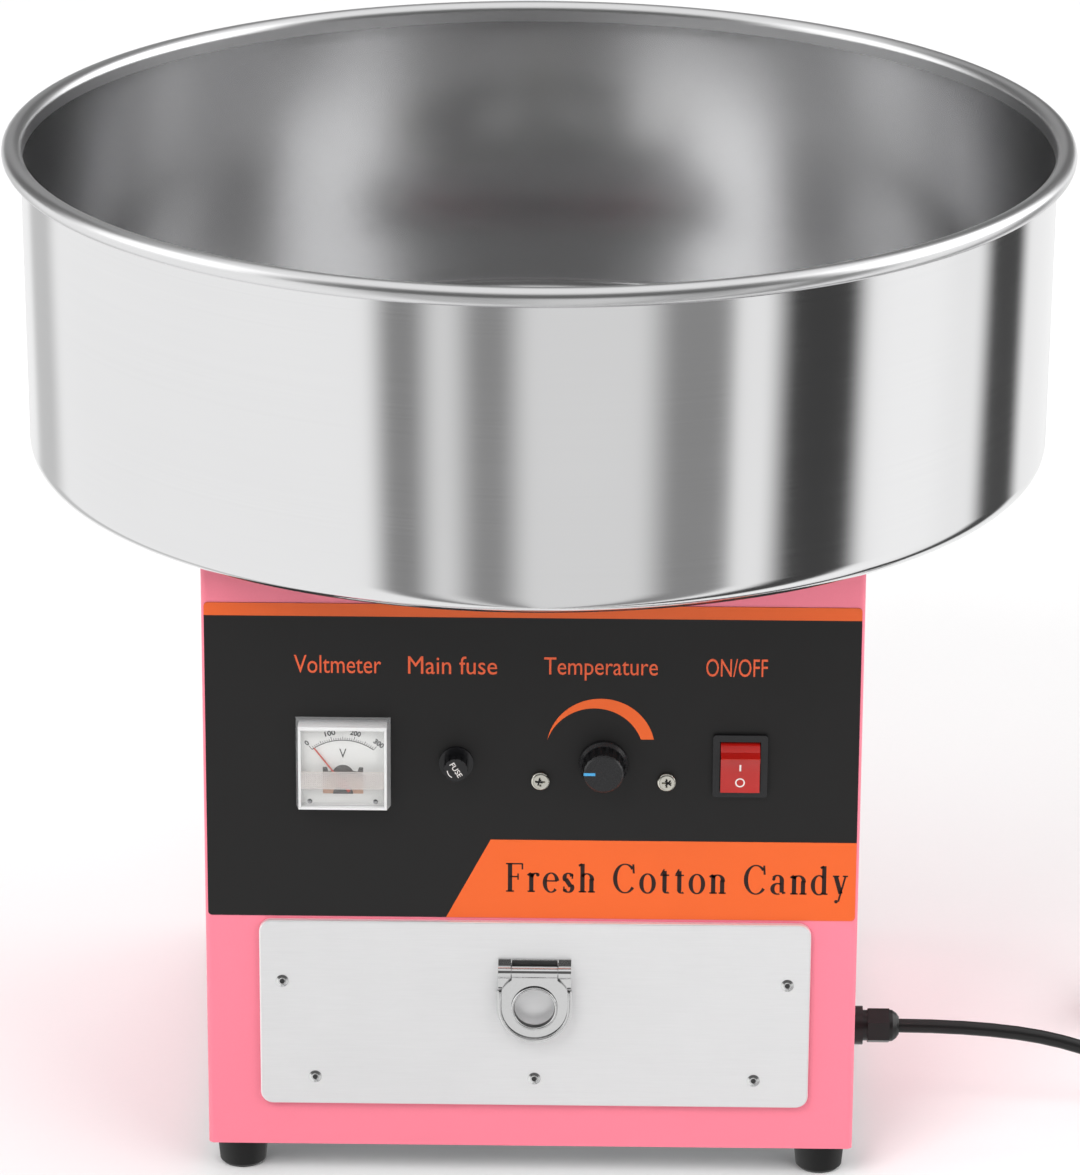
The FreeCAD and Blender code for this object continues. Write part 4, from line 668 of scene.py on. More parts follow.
    @staticmethod
    def pick(piece: bpy.types.Object, facing: Place) -> None:
        """Goes to edit mode with only the faces selected that look one way.

        Args:
            piece: The piece.
            facing: The direction.
        """
        Bench.clear()
        bpy.context.view_layer.objects.active = piece
        piece.select_set(True)
        bpy.ops.object.mode_set(mode="EDIT")
        bpy.ops.mesh.select_mode(type="FACE")
        bpy.ops.mesh.select_all(action="DESELECT")
        bpy.ops.object.mode_set(mode="OBJECT")
        for face in piece.data.polygons:
            face.select = face.normal.dot(Vector(facing)) > 0.99
        bpy.ops.object.mode_set(mode="EDIT")

    @staticmethod
    def swing(at: Flat, angle: float) -> Matrix:
        """A turn in the panel's plane, clockwise as seen from the front.

        Args:
            at: The (x, z) that stays where it is.
            angle: The turn in degrees.

        Returns:
            The turn.
        """
        turn = Matrix.Rotation(math.radians(angle), 4, "Y")
        return Matrix.Translation((at[0], 0, at[1])) @ turn @ Matrix.Translation((-at[0], 0, -at[1]))

    @staticmethod
    def repeated(piece: bpy.types.Object, places: Sequence[Matrix]) -> list[bpy.types.Object]:
        """Copies a piece, each copy with its own mesh, so that one stands at every place.

        Args:
            piece: The piece.
            places: How each one is moved from where the piece was made.

        Returns:
            One piece for each place; the first is the piece itself.
        """
        pieces = [piece]
        for _ in places[1:]:
            again = piece.copy()
            again.data = piece.data.copy()
            bpy.context.scene.collection.objects.link(again)
            pieces.append(again)
        for each, place in zip(pieces, places):
            each.data.transform(place)
        return pieces

    @staticmethod
    def joined(name: str, pieces: Sequence[bpy.types.Object]) -> bpy.types.Object:
        """Joins pieces of one finish into one object.

        Args:
            name: The name of the result.
            pieces: What is joined.

        Returns:
            The joined piece.
        """
        Bench.clear()
        for piece in pieces:
            piece.select_set(True)
        bpy.context.view_layer.objects.active = pieces[0]
        bpy.ops.object.join()
        whole = bpy.context.object
        whole.name = name
        return whole

    @staticmethod
    def lettering(name: str, words: str, low: Flat, high: Flat, front: float, thick: float,
                  spacing: float = 1.0, tilt: float = 0.0, weight: float = 0.0) -> bpy.types.Object:
        """Words as a thin mesh that faces -Y and fills a box.

        Args:
            name: The piece's name.
            words: What it says.
            low: The box's lowest (x, z).
            high: The box's highest (x, z).
            front: The y of its front face.
            thick: Its thickness.
            spacing: Space between letters, as a factor.
            tilt: Turn about the box's middle, in degrees.
            weight: How much each stroke is thickened, as a share of the letters' size.

        Returns:
            The piece.
        """
        Bench.clear()
        bpy.ops.object.text_add(location=(0, 0, 0))
        piece = bpy.context.object
        piece.name = name
        piece.data.body = words
        piece.data.size = 1.0
        piece.data.space_character = spacing
        piece.data.offset = weight
        piece.data.resolution_u = 4
        piece.data.extrude = 0.5
        bpy.ops.object.convert(target="MESH")
        corners = [vertex.co for vertex in piece.data.vertices]
        x0, x1 = min(c.x for c in corners), max(c.x for c in corners)
        y0, y1 = min(c.y for c in corners), max(c.y for c in corners)
        middle = Matrix.Translation((-(x0 + x1) / 2, -(y0 + y1) / 2, 0))
        wide, tall = (high[0] - low[0]) / (x1 - x0), (high[1] - low[1]) / (y1 - y0)
        size = Matrix.Diagonal((wide, tall, thick, 1))
        turn = Matrix.Rotation(math.radians(tilt), 4, "Z")
        stand = Matrix.Rotation(math.radians(90), 4, "X")
        place = Matrix.Translation(((low[0] + high[0]) / 2, front + thick / 2, (low[1] + high[1]) / 2))
        piece.data.transform(place @ stand @ turn @ size @ middle)
        return Bench.settle(piece, 20.0)


class SubAssembly:
    """What every sub-assembly does with its pieces once they are made."""

    @staticmethod
    def face(node: str) -> Place:
        """The middle of a node's front, from the frame."""
        low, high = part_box(node)
        return (low.x + high.x) / 2, low.y, (low.z + high.z) / 2

    @staticmethod
    def fit(piece: bpy.types.Object, finish: Finish, body: str, slot: str,
            stands_for: Sequence[str] = ()) -> bpy.types.Object:
        """Dresses a piece, ties it to its body and hides the frame's nodes that it replaces.

        Args:
            piece: A finished mesh, in place.
            finish: Its finish.
            body: The body that it rides on.
            slot: The material slot of the record that it belongs to. Not used.
            stands_for: The frame's nodes that it replaces.

        Returns:
            The piece.
        """
        Bench.clear()
        piece.data.materials.clear()
        piece.data.materials.append(finish.material())
        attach(piece, body)
        if stands_for:
            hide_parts(*stands_for)
        LOG.info("%s rides on %s", piece.name, body)
        return piece

    @staticmethod
    def dress(finish: Finish, *nodes: str) -> None:
        """Gives the frame's own nodes a finish."""
        for name in nodes:
            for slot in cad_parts[name].material_slots:
                slot.material = finish.material()


# ------------------------------------------------------------------ bowl and spinning head
@dataclass
class SugarBowl(SubAssembly):
    """The wide spun bowl with its rolled rim.

    Attributes:
        rim_radius: Outer radius at the rim.
        bead_radius: Radius of the rolled rim's section.
        wall_top: Outer wall radius at the rim.
        wall_low: Outer wall radius above the corner.
        corner: Outer radius of the corner at the floor.
        sheet: Thickness of the sheet.
        hole: Radius of the middle hole.
        lip: Height of the lip round the middle hole.
        flat: Radius of the floor's level middle, as a share of the floor's.
        swell: How much narrower than its mouth the wall is where it starts to open.
        swell_drop: How far that place is under the bead's middle.
        bead_drop: How far under the bead's middle the outer wall meets it.
        inner_drop: The same for the inner wall.
        facets: Facets round the bowl.
    """

    rim_radius: float = 260 * MM
    bead_radius: float = 4.75 * MM
    wall_top: float = 251 * MM
    wall_low: float = 249.5 * MM
    corner: float = 11 * MM
    sheet: float = 1 * MM
    hole: float = 88 * MM
    lip: float = 7 * MM
    flat: float = 0.7
    swell: float = 0.3 * MM
    swell_drop: float = 14 * MM
    bead_drop: float = 2.1 * MM
    inner_drop: float = 12 * MM
    facets: int = 288

    def profile(self) -> list[Flat]:
        """The closed outline of the bowl's section.

        Returns:
            Points of (radius, height).
        """
        low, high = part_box("bowl")
        floor = low.z
        bead_z = high.z - self.bead_radius
        bead_r = self.rim_radius - self.bead_radius
        corner_r = self.wall_low - self.corner
        flat_r = corner_r * self.flat
        outline = [(self.hole, floor + self.lip), (self.hole, floor), (flat_r, floor)]
        outline += Bench.arc((corner_r, floor + self.corner), self.corner, -90, 0, 10)
        outline += [(self.wall_top - self.swell, bead_z - self.swell_drop),
                    (self.wall_top, bead_z - self.bead_drop)]
        outline += Bench.arc((bead_r, bead_z), self.bead_radius, -150, 90, 26)
        half_width = bead_r - self.wall_top + self.sheet
        for i in range(1, 10):
            angle = math.radians(90 + 10 * i)
            outline.append((bead_r + half_width * math.cos(angle),
                            bead_z + self.bead_radius * math.sin(angle)))
        outline.append((self.wall_top - self.sheet, bead_z - self.inner_drop))
        outline += Bench.arc((corner_r, floor + self.corner), self.corner - self.sheet, 0, -90, 10)
        outline += [(flat_r, floor + self.sheet), (self.hole + self.sheet, floor + self.sheet)]
        outline += [(self.hole + self.sheet, floor + self.lip), (self.hole, floor + self.lip)]
        return outline

    def build(self) -> None:
        """Makes the bowl."""
        bowl = Bench.turned("spun_bowl", self.profile(), self.facets)
        self.fit(bowl, Finishes.bowl_steel, "bowl", "bowl_steel", ["bowl"])


class SpinningHead(SubAssembly):
    """The head that turns in the bowl, and the drive under it."""

    def build(self) -> None:
        """Dresses the frame's own nodes."""
        self.dress(Finishes.cast_alloy, "head_base", "spindle_housing", "spindle_pulley",
                   "motor_pulley")
        self.dress(Finishes.head_steel, "perforated_band", "head_cover", "bowl_collar")
        self.dress(Finishes.screw_plate, "thumb_nuts", "spindle_nuts", "drive_screws",
                   "regulator_screws", "cabinet_screws", "foot_fasteners")
        self.dress(Finishes.sheath, "heater_element")
        self.dress(Finishes.ground_steel, "spindle_shaft", "spindle_bearings", "motor_rotor",
                   "brush_springs", "regulator_spindle", "pull_pin")
        self.dress(Finishes.copper, "slip_rings")
        self.dress(Finishes.phenolic, "slip_ring_hub", "brush_holder", "terminal_block")
        self.dress(Finishes.graphite, "carbon_brushes")
        self.dress(Finishes.motor_enamel, "motor_housing")
        self.dress(Finishes.windings, "motor_stator")
        self.dress(Finishes.zinc, "motor_bracket", "base_plate", "drawer_rails")
        self.dress(Finishes.rubber, "drive_belt", "bowl_seat")


# ------------------------------------------------------------------ cabinet and panel
class Cabinet(SubAssembly):
    """The painted case with its feet."""

    def build(self) -> None:
        """Dresses the frame's own nodes."""
        self.dress(Finishes.powder_coat, "cabinet_shell", "top_deck", "rear_panel")
        self.dress(Finishes.rubber, "feet")


@dataclass
class PanelPrint(SubAssembly):
    """What is printed on the control film.

    Attributes:
        ink: Thickness of the print.
        stripe: Height of the stripe along the top edge.
        corner: Radius of the film's corners.
        band_top: Height of the title band's top edge.
        band_left_top: Where the band's slanted end meets its top edge.
        band_left_low: Where the slanted end meets the film's lower edge.
        swell_outer: Centre and radius of the heat mark's outer edge.
        swell_inner: Centre and radius of its inner edge.
        swell_end: Height of its broad end.
        swell_tip: Height of its pointed end.
        labels: What each label says, and its left and right edge.
        label_low: Height of the line that the labels stand on.
        cap_height: Height of the labels' capitals.
        tail_drop: How far tails such as a p's hang under that line.
        title: What the title says.
        title_span: Its left and right edge.
        title_base: Height of the line that it stands on.
        title_cap: Height of its capitals.
        title_proud: How far it stands out from the band.
    """

    ink: float = 0.1 * MM
    stripe: float = 6.4 * MM
    corner: float = 2 * MM
    band_top: float = 178 * MM
    band_left_top: float = -19.6 * MM
    band_left_low: float = -40.9 * MM
    swell_outer: tuple[float, float, float] = (32.5 * MM, 224.9 * MM, 25.7 * MM)
    swell_inner: tuple[float, float, float] = (29.5 * MM, 222.3 * MM, 23.4 * MM)
    swell_end: float = 230.1 * MM
    swell_tip: float = 229.1 * MM
    labels: tuple[tuple[str, float, float], ...] = (
        ("Voltmeter", -112.7 * MM, -71.5 * MM),
        ("Main fuse", -58.8 * MM, -16.7 * MM),
        ("Temperature", 5.5 * MM, 59.2 * MM),
        ("ON/OFF", 82.0 * MM, 111.1 * MM),
    )
    label_low: float = 262.3 * MM
    cap_height: float = 9.0 * MM
    tail_drop: float = 2.5 * MM
    title: str = "Fresh Cotton Candy"
    title_span: Flat = (-12.8 * MM, 151.3 * MM)
    title_base: float = 151.2 * MM
    title_cap: float = 14.8 * MM
    title_proud: float = 0.02 * MM

    def __post_init__(self) -> None:
        """Finds the film that the print lies on."""
        self.low, self.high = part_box("control_overlay")
        self.front = self.low.y - self.ink

    def stripes(self) -> None:
        """The stripe along the film's top edge and the slanted title band."""
        x0, x1, z1, r = self.low.x, self.high.x, self.high.z, self.corner
        top = Bench.arc((x1 - r, z1 - r), r, 0, 90, 7) + Bench.arc((x0 + r, z1 - r), r, 90, 180, 7)
        outline = [(x1, z1 - self.stripe)] + top + [(x0, z1 - self.stripe)]
        stripe = Bench.plate("top_stripe", outline, self.front, self.ink)
        self.fit(stripe, Finishes.orange_ink, "cabinet", "printed_film")
        z0 = self.low.z
        corner = Bench.arc((x1 - r, z0 + r), r, -90, 0, 7)
        outline = [(self.band_left_low, z0)] + corner
        outline += [(x1, self.band_top), (self.band_left_top, self.band_top)]
        band = Bench.plate("title_band", outline, self.front, self.ink)
        self.fit(band, Finishes.orange_ink, "cabinet", "printed_film")

    def heat_mark(self) -> None:
        """The crescent over the knob, which swells towards more heat."""
        ox, oz, outer = self.swell_outer
        ix, iz, inner = self.swell_inner
        outer_end = math.degrees(math.asin((self.swell_end - oz) / outer))
        inner_end = math.degrees(math.asin((self.swell_end - iz) / inner))
        outer_tip = 180 - math.degrees(math.asin((self.swell_tip - oz) / outer))
        inner_tip = 180 - math.degrees(math.asin((self.swell_tip - iz) / inner))
        outline = Bench.arc((ox, oz), outer, outer_end, outer_tip - 1, 40)
        outline += Bench.arc((ix, iz), inner, inner_tip - 1, inner_end, 40)
        mark = Bench.plate("heat_mark", outline, self.front, self.ink)
        self.fit(mark, Finishes.orange_ink, "cabinet", "printed_film")

    def label(self, words: str, x0: float, x1: float) -> None:
        """One label over a control.

        Args:
            words: What it says.
            x0: Its left edge.
            x1: Its right edge.
        """
        hangs = self.tail_drop if any(letter in words for letter in "pgy") else 0.0
        name = "label_" + words.split()[0].replace("/", "_").lower()
        low, high = (x0, self.label_low - hangs), (x1, self.label_low + self.cap_height)
        piece = Bench.lettering(name, words, low, high, self.front, self.ink)
        self.fit(piece, Finishes.label_ink, "cabinet", "printed_film")

    def build(self) -> None:
        """Prints the whole film."""
        self.dress(Finishes.panel_film, "control_overlay")
        self.stripes()
        self.heat_mark()
        for words, x0, x1 in self.labels:
            self.label(words, x0, x1)
        title = SerifTitle(self.title, *self.title_span, self.title_base, self.title_cap,
                           self.front - self.title_proud, self.ink)
        self.fit(title.build(), Finishes.title_ink, "cabinet", "printed_film")


class Stroke(Enum):
    """The parts that a serif letter is drawn from."""

    STEM = "stem"
    BAR = "bar"
    CURVE = "curve"
    SLANT = "slant"
    DOT = "dot"


@dataclass
class SerifTitle:
    """Lettering in a narrow serif hand. Sizes are shares of the capitals' height.

    Attributes:
        words: What it says.
        left: Where it starts.
        right: Where it ends.
        base: Height of the line that the letters stand on.
        cap: Height of a capital.
        front: The y of its front face.
        thick: Its thickness.
        stem: Half the width of a thick stroke.
        hair: Half the width of a thin stroke.
        serif: Half the width of a serif. Not used.
        space: Width of the space between words.
    """

    words: str
    left: float
    right: float
    base: float
    cap: float
    front: float
    thick: float
    stem: float = 0.070
    hair: float = 0.026
    serif: float = 0.115
    space: float = 0.30

    def letter(self, sign: str) -> tuple[float, list[tuple]]:
        """How one letter is drawn.

        Args:
            sign: The letter.

        Returns:
            Its width and its strokes.
        """
        stem, bar, curve, slant, dot = Stroke
        thick, hair = self.stem, self.hair
        foot = (bar, 0.02, 0.26, 0.02)
        high_flag = (slant, 0.02, 0.93, 0.13, 0.99, hair * 1.4)
        flag = (slant, 0.02, 0.58, 0.13, 0.66, hair * 1.4)
        arch = (curve, 0.28, 0.44, 0.17, 0.21, -5, 150)
        letters = {
            "F": (0.58, [(stem, 0.17, 0.0, 1.0), (bar, 0.04, 0.30, 0.02),
                         (bar, 0.04, 0.58, 0.98), (slant, 0.57, 0.78, 0.57, 0.98, hair),
                         (bar, 0.17, 0.43, 0.53), (slant, 0.43, 0.42, 0.43, 0.64, hair)]),
            "r": (0.40, [(stem, 0.14, 0.0, 0.66), foot, flag,
                         (curve, 0.29, 0.44, 0.15, 0.21, 60, 160), (dot, 0.35, 0.60, 0.06)]),
            "e": (0.46, [(curve, 0.24, 0.33, 0.20, 0.335, 10, 180),
                         (curve, 0.24, 0.33, 0.20, 0.335, 180, 318), (bar, 0.06, 0.44, 0.39)]),
            "s": (0.38, [(slant, 0.12, 0.46, 0.28, 0.20, thick * 1.05),
                         (curve, 0.20, 0.50, 0.12, 0.16, 20, 215),
                         (curve, 0.20, 0.16, 0.13, 0.16, 35, -160),
                         (slant, 0.33, 0.47, 0.33, 0.65, hair),
                         (slant, 0.06, 0.02, 0.06, 0.20, hair)]),
            "h": (0.56, [(stem, 0.14, 0.0, 1.0), high_flag,
                         foot, arch, (stem, 0.43, 0.0, 0.47),
                         (bar, 0.32, 0.55, 0.02)]),
            "n": (0.56, [(stem, 0.14, 0.0, 0.66), flag, foot, arch,
                         (stem, 0.43, 0.0, 0.47), (bar, 0.32, 0.55, 0.02)]),
            "C": (0.72, [(curve, 0.38, 0.50, 0.32, 0.50, 42, 180),
                         (curve, 0.38, 0.50, 0.32, 0.50, 180, 322),
                         (slant, 0.66, 0.68, 0.64, 1.0, hair * 1.3)]),
            "o": (0.50, [(curve, 0.25, 0.33, 0.20, 0.335, 90, 270),
                         (curve, 0.25, 0.33, 0.20, 0.335, -90, 90)]),
            "t": (0.34, [(stem, 0.16, 0.10, 0.78), (bar, 0.02, 0.31, 0.63),
                         (slant, 0.05, 0.66, 0.15, 0.84, hair),
                         (curve, 0.24, 0.12, 0.08, 0.11, 180, 310)]),
            "a": (0.48, [(stem, 0.36, 0.06, 0.48), (curve, 0.22, 0.48, 0.14, 0.18, 0, 150),
                         (dot, 0.10, 0.53, 0.055), (curve, 0.23, 0.19, 0.17, 0.185, 55, 290),
                         (slant, 0.37, 0.04, 0.48, 0.06, hair * 1.3)]),
            "d": (0.54, [(stem, 0.41, 0.0, 1.0), (slant, 0.29, 0.93, 0.40, 0.99, hair * 1.4),
                         (bar, 0.41, 0.53, 0.02), (curve, 0.25, 0.33, 0.20, 0.335, 50, 310)]),
            "y": (0.50, [(slant, 0.11, 0.64, 0.27, 0.04, thick), (bar, 0.01, 0.22, 0.65),
                         (slant, 0.42, 0.65, 0.20, -0.24, hair * 1.2),
                         (bar, 0.33, 0.50, 0.65), (dot, 0.13, -0.24, 0.06)]),
        }
        return letters[sign]

    def outline(self, stroke: tuple) -> list[Flat]:
        """The corners of one stroke.

        Args:
            stroke: Its kind and its sizes.

        Returns:
            Its outline in shares of the capitals' height.
        """
        kind, *size = stroke
        if kind is Stroke.STEM:
            x, low, high = size
            left, right = x - self.stem, x + self.stem
            return [(left, low), (right, low), (right, high), (left, high)]
        if kind is Stroke.BAR:
            x0, x1, z = size
            return [(x0, z - self.hair), (x1, z - self.hair), (x1, z + self.hair), (x0, z + self.hair)]
        if kind is Stroke.DOT:
            x, z, radius = size
            return Bench.arc((x, z), radius, 0, 345, 24)
        if kind is Stroke.SLANT:
            x0, z0, x1, z1, half = size
            across = Vector((z0 - z1, x1 - x0)).normalized() * half
            return [(x0 - across.x, z0 - across.y), (x1 - across.x, z1 - across.y),
                    (x1 + across.x, z1 + across.y), (x0 + across.x, z0 + across.y)]
        x, z, wide, tall, start, end = size
        inner, outer = [], []
        for i in range(25):
            angle = math.radians(start + (end - start) * i / 24)
            half = self.hair + (self.stem - self.hair) * abs(math.cos(angle)) ** 1.5
            for side, line in ((-half, inner), (half, outer)):
                line.append((x + (wide + side) * math.cos(angle),
                             z + (tall + side * 0.9) * math.sin(angle)))
        return outer + inner[::-1]

    def build(self) -> bpy.types.Object:
        """Draws every letter.

        Returns:
            The whole title as one piece.
        """
        widths = [self.space if sign == " " else self.letter(sign)[0] for sign in self.words]
        gap = ((self.right - self.left) / self.cap - sum(widths)) / (len(widths) - 1)
        places: dict[str, list[Matrix]] = {}
        x = self.left
        for sign, wide in zip(self.words, widths):
            if sign != " ":
                places.setdefault(sign, []).append(Matrix.Translation((x, 0, self.base)))
            x += (wide + gap) * self.cap
        pieces = []
        for sign, spots in places.items():
            strokes = []
            for stroke in self.letter(sign)[1]:
                corners = [(u * self.cap, v * self.cap) for u, v in self.outline(stroke)]
                strokes.append(Bench.plate("stroke", corners, self.front, self.thick))
            pieces += Bench.repeated(Bench.joined("letter", strokes), spots)
        return Bench.joined("title_lettering", pieces)


# ------------------------------------------------------------------ panel meter
@dataclass
class PanelMeter(SubAssembly):
    """The voltmeter behind its clear cover.

    Attributes:
        pivot_drop: How far the middle of the scale's arc is under the dial's middle.
        scale_radius: Radius of the scale's arc.
        sweep: Half of the scale's angle, in degrees.
        divisions: Small steps on the scale.
        ticks: Every how many steps a tick is how long, the longest first.
        numbers: What the scale says, from left to right.
        number_out: How far outside the arc the numbers stand.
        digit: Half the width and half the height of a digit.
        number_weight: How much the digits' strokes are thickened.
        edge_span: Half of the cover's width.
        edge_deep: Depth of its pale edges.
        edge_wide: Width of its pale edges.
        line: Width of the scale's lines.
        tick_line: Width of a tick, as a share of the arc's line.
        ink: Thickness of the print.
        shelf_drop: How far the top of the movement is under the dial's middle.
        arch_half: Half the width of the movement's arch.
        foot_drop: How far its foot is under the dial's middle.
        coil_side: How far each coil is to the side.
        coil_half: Half the width of a coil.
        screw_side: How far each screw is to the side.
        screw_drop: How far the screws are under the dial's middle.
    """

    pivot_drop: float = 11.9 * MM
    scale_radius: float = 24.4 * MM
    sweep: float = 37.0
    divisions: int = 30
    ticks: tuple[tuple[int, float], ...] = ((10, 2.1 * MM), (5, 1.6 * MM), (1, 1.1 * MM))
    numbers: tuple[str, ...] = ("0", "100", "200", "300")
    number_out: float = 4.0 * MM
    digit: Flat = (0.86 * MM, 1.3 * MM)
    number_weight: float = 0.03
    edge_span: float = 21.0 * MM
    edge_deep: float = 7.5 * MM
    edge_wide: float = 1.3 * MM
    line: float = 0.36 * MM
    tick_line: float = 0.36
    ink: float = 0.08 * MM
    shelf_drop: float = 1.4 * MM
    arch_half: float = 9.6 * MM
    foot_drop: float = 14.8 * MM
    coil_side: float = 3.6 * MM
    coil_half: float = 1.7 * MM
    screw_side: float = 15.6 * MM
    screw_drop: float = 16.6 * MM

    def __post_init__(self) -> None:
        """Finds the dial and the cover."""
        self.x, self.lens_front, self.z = self.face("meter_lens")
        self.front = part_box("meter_dial")[0].y - self.ink
        self.pivot = (self.x, self.z - self.pivot_drop)
        self.shelf = self.z - self.shelf_drop

    def spot(self, radius: float, share: float) -> Flat:
        """A place on the dial.

        Args:
            radius: Distance from the pointer's axis.
            share: 0 at the scale's left end and 1 at its right end.

        Returns:
            Its (x, z).
        """
        angle = math.radians(90 + self.sweep * (1 - 2 * share))
        return self.pivot[0] + radius * math.cos(angle), self.pivot[1] + radius * math.sin(angle)

    def scale(self) -> None:
        """The arc, its ticks and its numbers."""
        start, end = 90 + self.sweep, 90 - self.sweep
        outline = Bench.arc(self.pivot, self.scale_radius, start, end, 40)
        outline += Bench.arc(self.pivot, self.scale_radius - self.line, end, start, 40)
        pieces = [Bench.plate("scale_arc", outline, self.front, self.ink)]
        half = self.line * self.tick_line / self.scale_radius / math.radians(2 * self.sweep)
        lengths = [next(tall for step, tall in self.ticks if i % step == 0)
                   for i in range(self.divisions + 1)]
        for _, tall in self.ticks:
            tips = self.scale_radius, self.scale_radius + tall
            corners = [self.spot(tips[0], -half), self.spot(tips[0], half),
                       self.spot(tips[1], half), self.spot(tips[1], -half)]
            turns = [Bench.swing(self.pivot, 2 * self.sweep * i / self.divisions)
                     for i, length in enumerate(lengths) if length == tall]
            pieces += Bench.repeated(Bench.plate("tick", corners, self.front, self.ink), turns)
        for i, words in enumerate(self.numbers):
            share = i / (len(self.numbers) - 1)
            x, z = self.spot(self.scale_radius + self.number_out, share)
            wide, tall = self.digit[0] * len(words), self.digit[1]
            low, high = (x - wide, z - tall), (x + wide, z + tall)
            pieces.append(Bench.lettering(f"number_{i}", words, low, high, self.front, self.ink,
                                          tilt=self.sweep * (1 - 2 * share), weight=self.number_weight))
        pieces.append(Bench.lettering("unit", "V", (self.x - 1.7 * MM, self.z + 3.4 * MM),
                                      (self.x + 1.7 * MM, self.z + 8.0 * MM), self.front, self.ink))
        self.fit(Bench.joined("dial_scale", pieces), Finishes.black_ink, "cabinet", "dial_white")

    def movement(self) -> None:
        """The dark arch of the movement, its warm coils and the dark foot under them."""
        half, shelf, base = self.arch_half, self.shelf, self.z - self.foot_drop
        right = [(self.x + half, shelf - 6.8 * MM), (self.x + half, shelf),
                 (self.x + 7.6 * MM, shelf), (self.x + 7.0 * MM, shelf - 2.2 * MM)]
        left = [(2 * self.x - x, z) for x, z in reversed(right)]
        outline = right + Bench.arc((self.x, shelf - 4.0 * MM), 5.2 * MM, 25, 155, 14) + left
        arch = Bench.plate("movement_arch", outline, self.front, self.ink)
        rounded = Bench.arc((self.x, base), 4.8 * MM, 0, 180, 18)
        foot = Bench.plate("movement_foot", rounded, self.front - 0.5 * MM, self.ink)
        dark = Bench.joined("movement_openings", [arch, foot])
        self.fit(dark, Finishes.movement, "cabinet", "dial_white")
        magnet = Bench.block("magnet", (self.x - half, self.front - 0.2 * MM, base),
                             (self.x + half, self.front, shelf - 5.0 * MM), 0.08 * MM)
        coil = Bench.block("coil", (-self.coil_half, self.front - 0.45 * MM, self.z - 13.0 * MM),
                           (self.coil_half, self.front, shelf - 3.8 * MM), 0.4 * MM)
        places = [Matrix.Translation((self.x + side * self.coil_side, 0, 0)) for side in (-1, 1)]
        parts = [magnet] + Bench.repeated(coil, places)
        self.fit(Bench.joined("movement_coils", parts), Finishes.coil_wire, "cabinet", "copper")

    def cover(self) -> None:
        """The prismed lower part of the cover, its folded top edge and its two screws."""
        y = self.lens_front
        low = (self.x - 19.6 * MM, y - 0.25 * MM, self.z - 10.6 * MM)
        high = (self.x + 19.6 * MM, y + 0.05 * MM, self.z - 1.6 * MM)
        prisms = Bench.block("cover_prisms", low, high, 0.1 * MM)
        self.fit(prisms, Finishes.lens_prisms, "cabinet", "clear_lens")
        outer, inner = self.edge_span, self.edge_span - self.edge_wide
        top = inner - 0.5 * MM
        sides = ((-outer, outer, top, outer), (-outer, outer, -outer, -inner),
                 (-outer, -inner, -inner, top), (inner, outer, -inner, top))
        bars = []
        for x0, x1, z0, z1 in sides:
            bars.append(Bench.block("cover_bar", (self.x + x0, y - 0.35 * MM, self.z + z0),
                                    (self.x + x1, y + self.edge_deep, self.z + z1), 0.15 * MM))
        self.fit(Bench.joined("cover_edges", bars), Finishes.lens_edge, "cabinet", "clear_lens")
        domed = [(0.0, -0.35 * MM), (0.9 * MM, -0.25 * MM), (1.25 * MM, 0.0), (1.25 * MM, 0.25 * MM)]
        screw = Bench.turned("cover_screw", domed, 20, axis=INTO_PANEL)
        proud, height = y - 0.55 * MM, self.z - self.screw_drop
        places = [Matrix.Translation((self.x + side, proud, height))
                  for side in (-self.screw_side, self.screw_side)]
        screws = Bench.repeated(screw, places)
        self.fit(Bench.joined("cover_screws", screws), Finishes.ground_steel, "cabinet", "shaft_steel")

    def build(self) -> None:
        """Dresses the meter's nodes and adds its print, movement and cover."""
        self.dress(Finishes.gloss_black, "meter_case")
        self.dress(Finishes.dial_card, "meter_dial")
        self.dress(Finishes.lens, "meter_lens")
        self.dress(Finishes.needle_red, "meter_needle")
        self.scale()
        self.movement()
        self.cover()


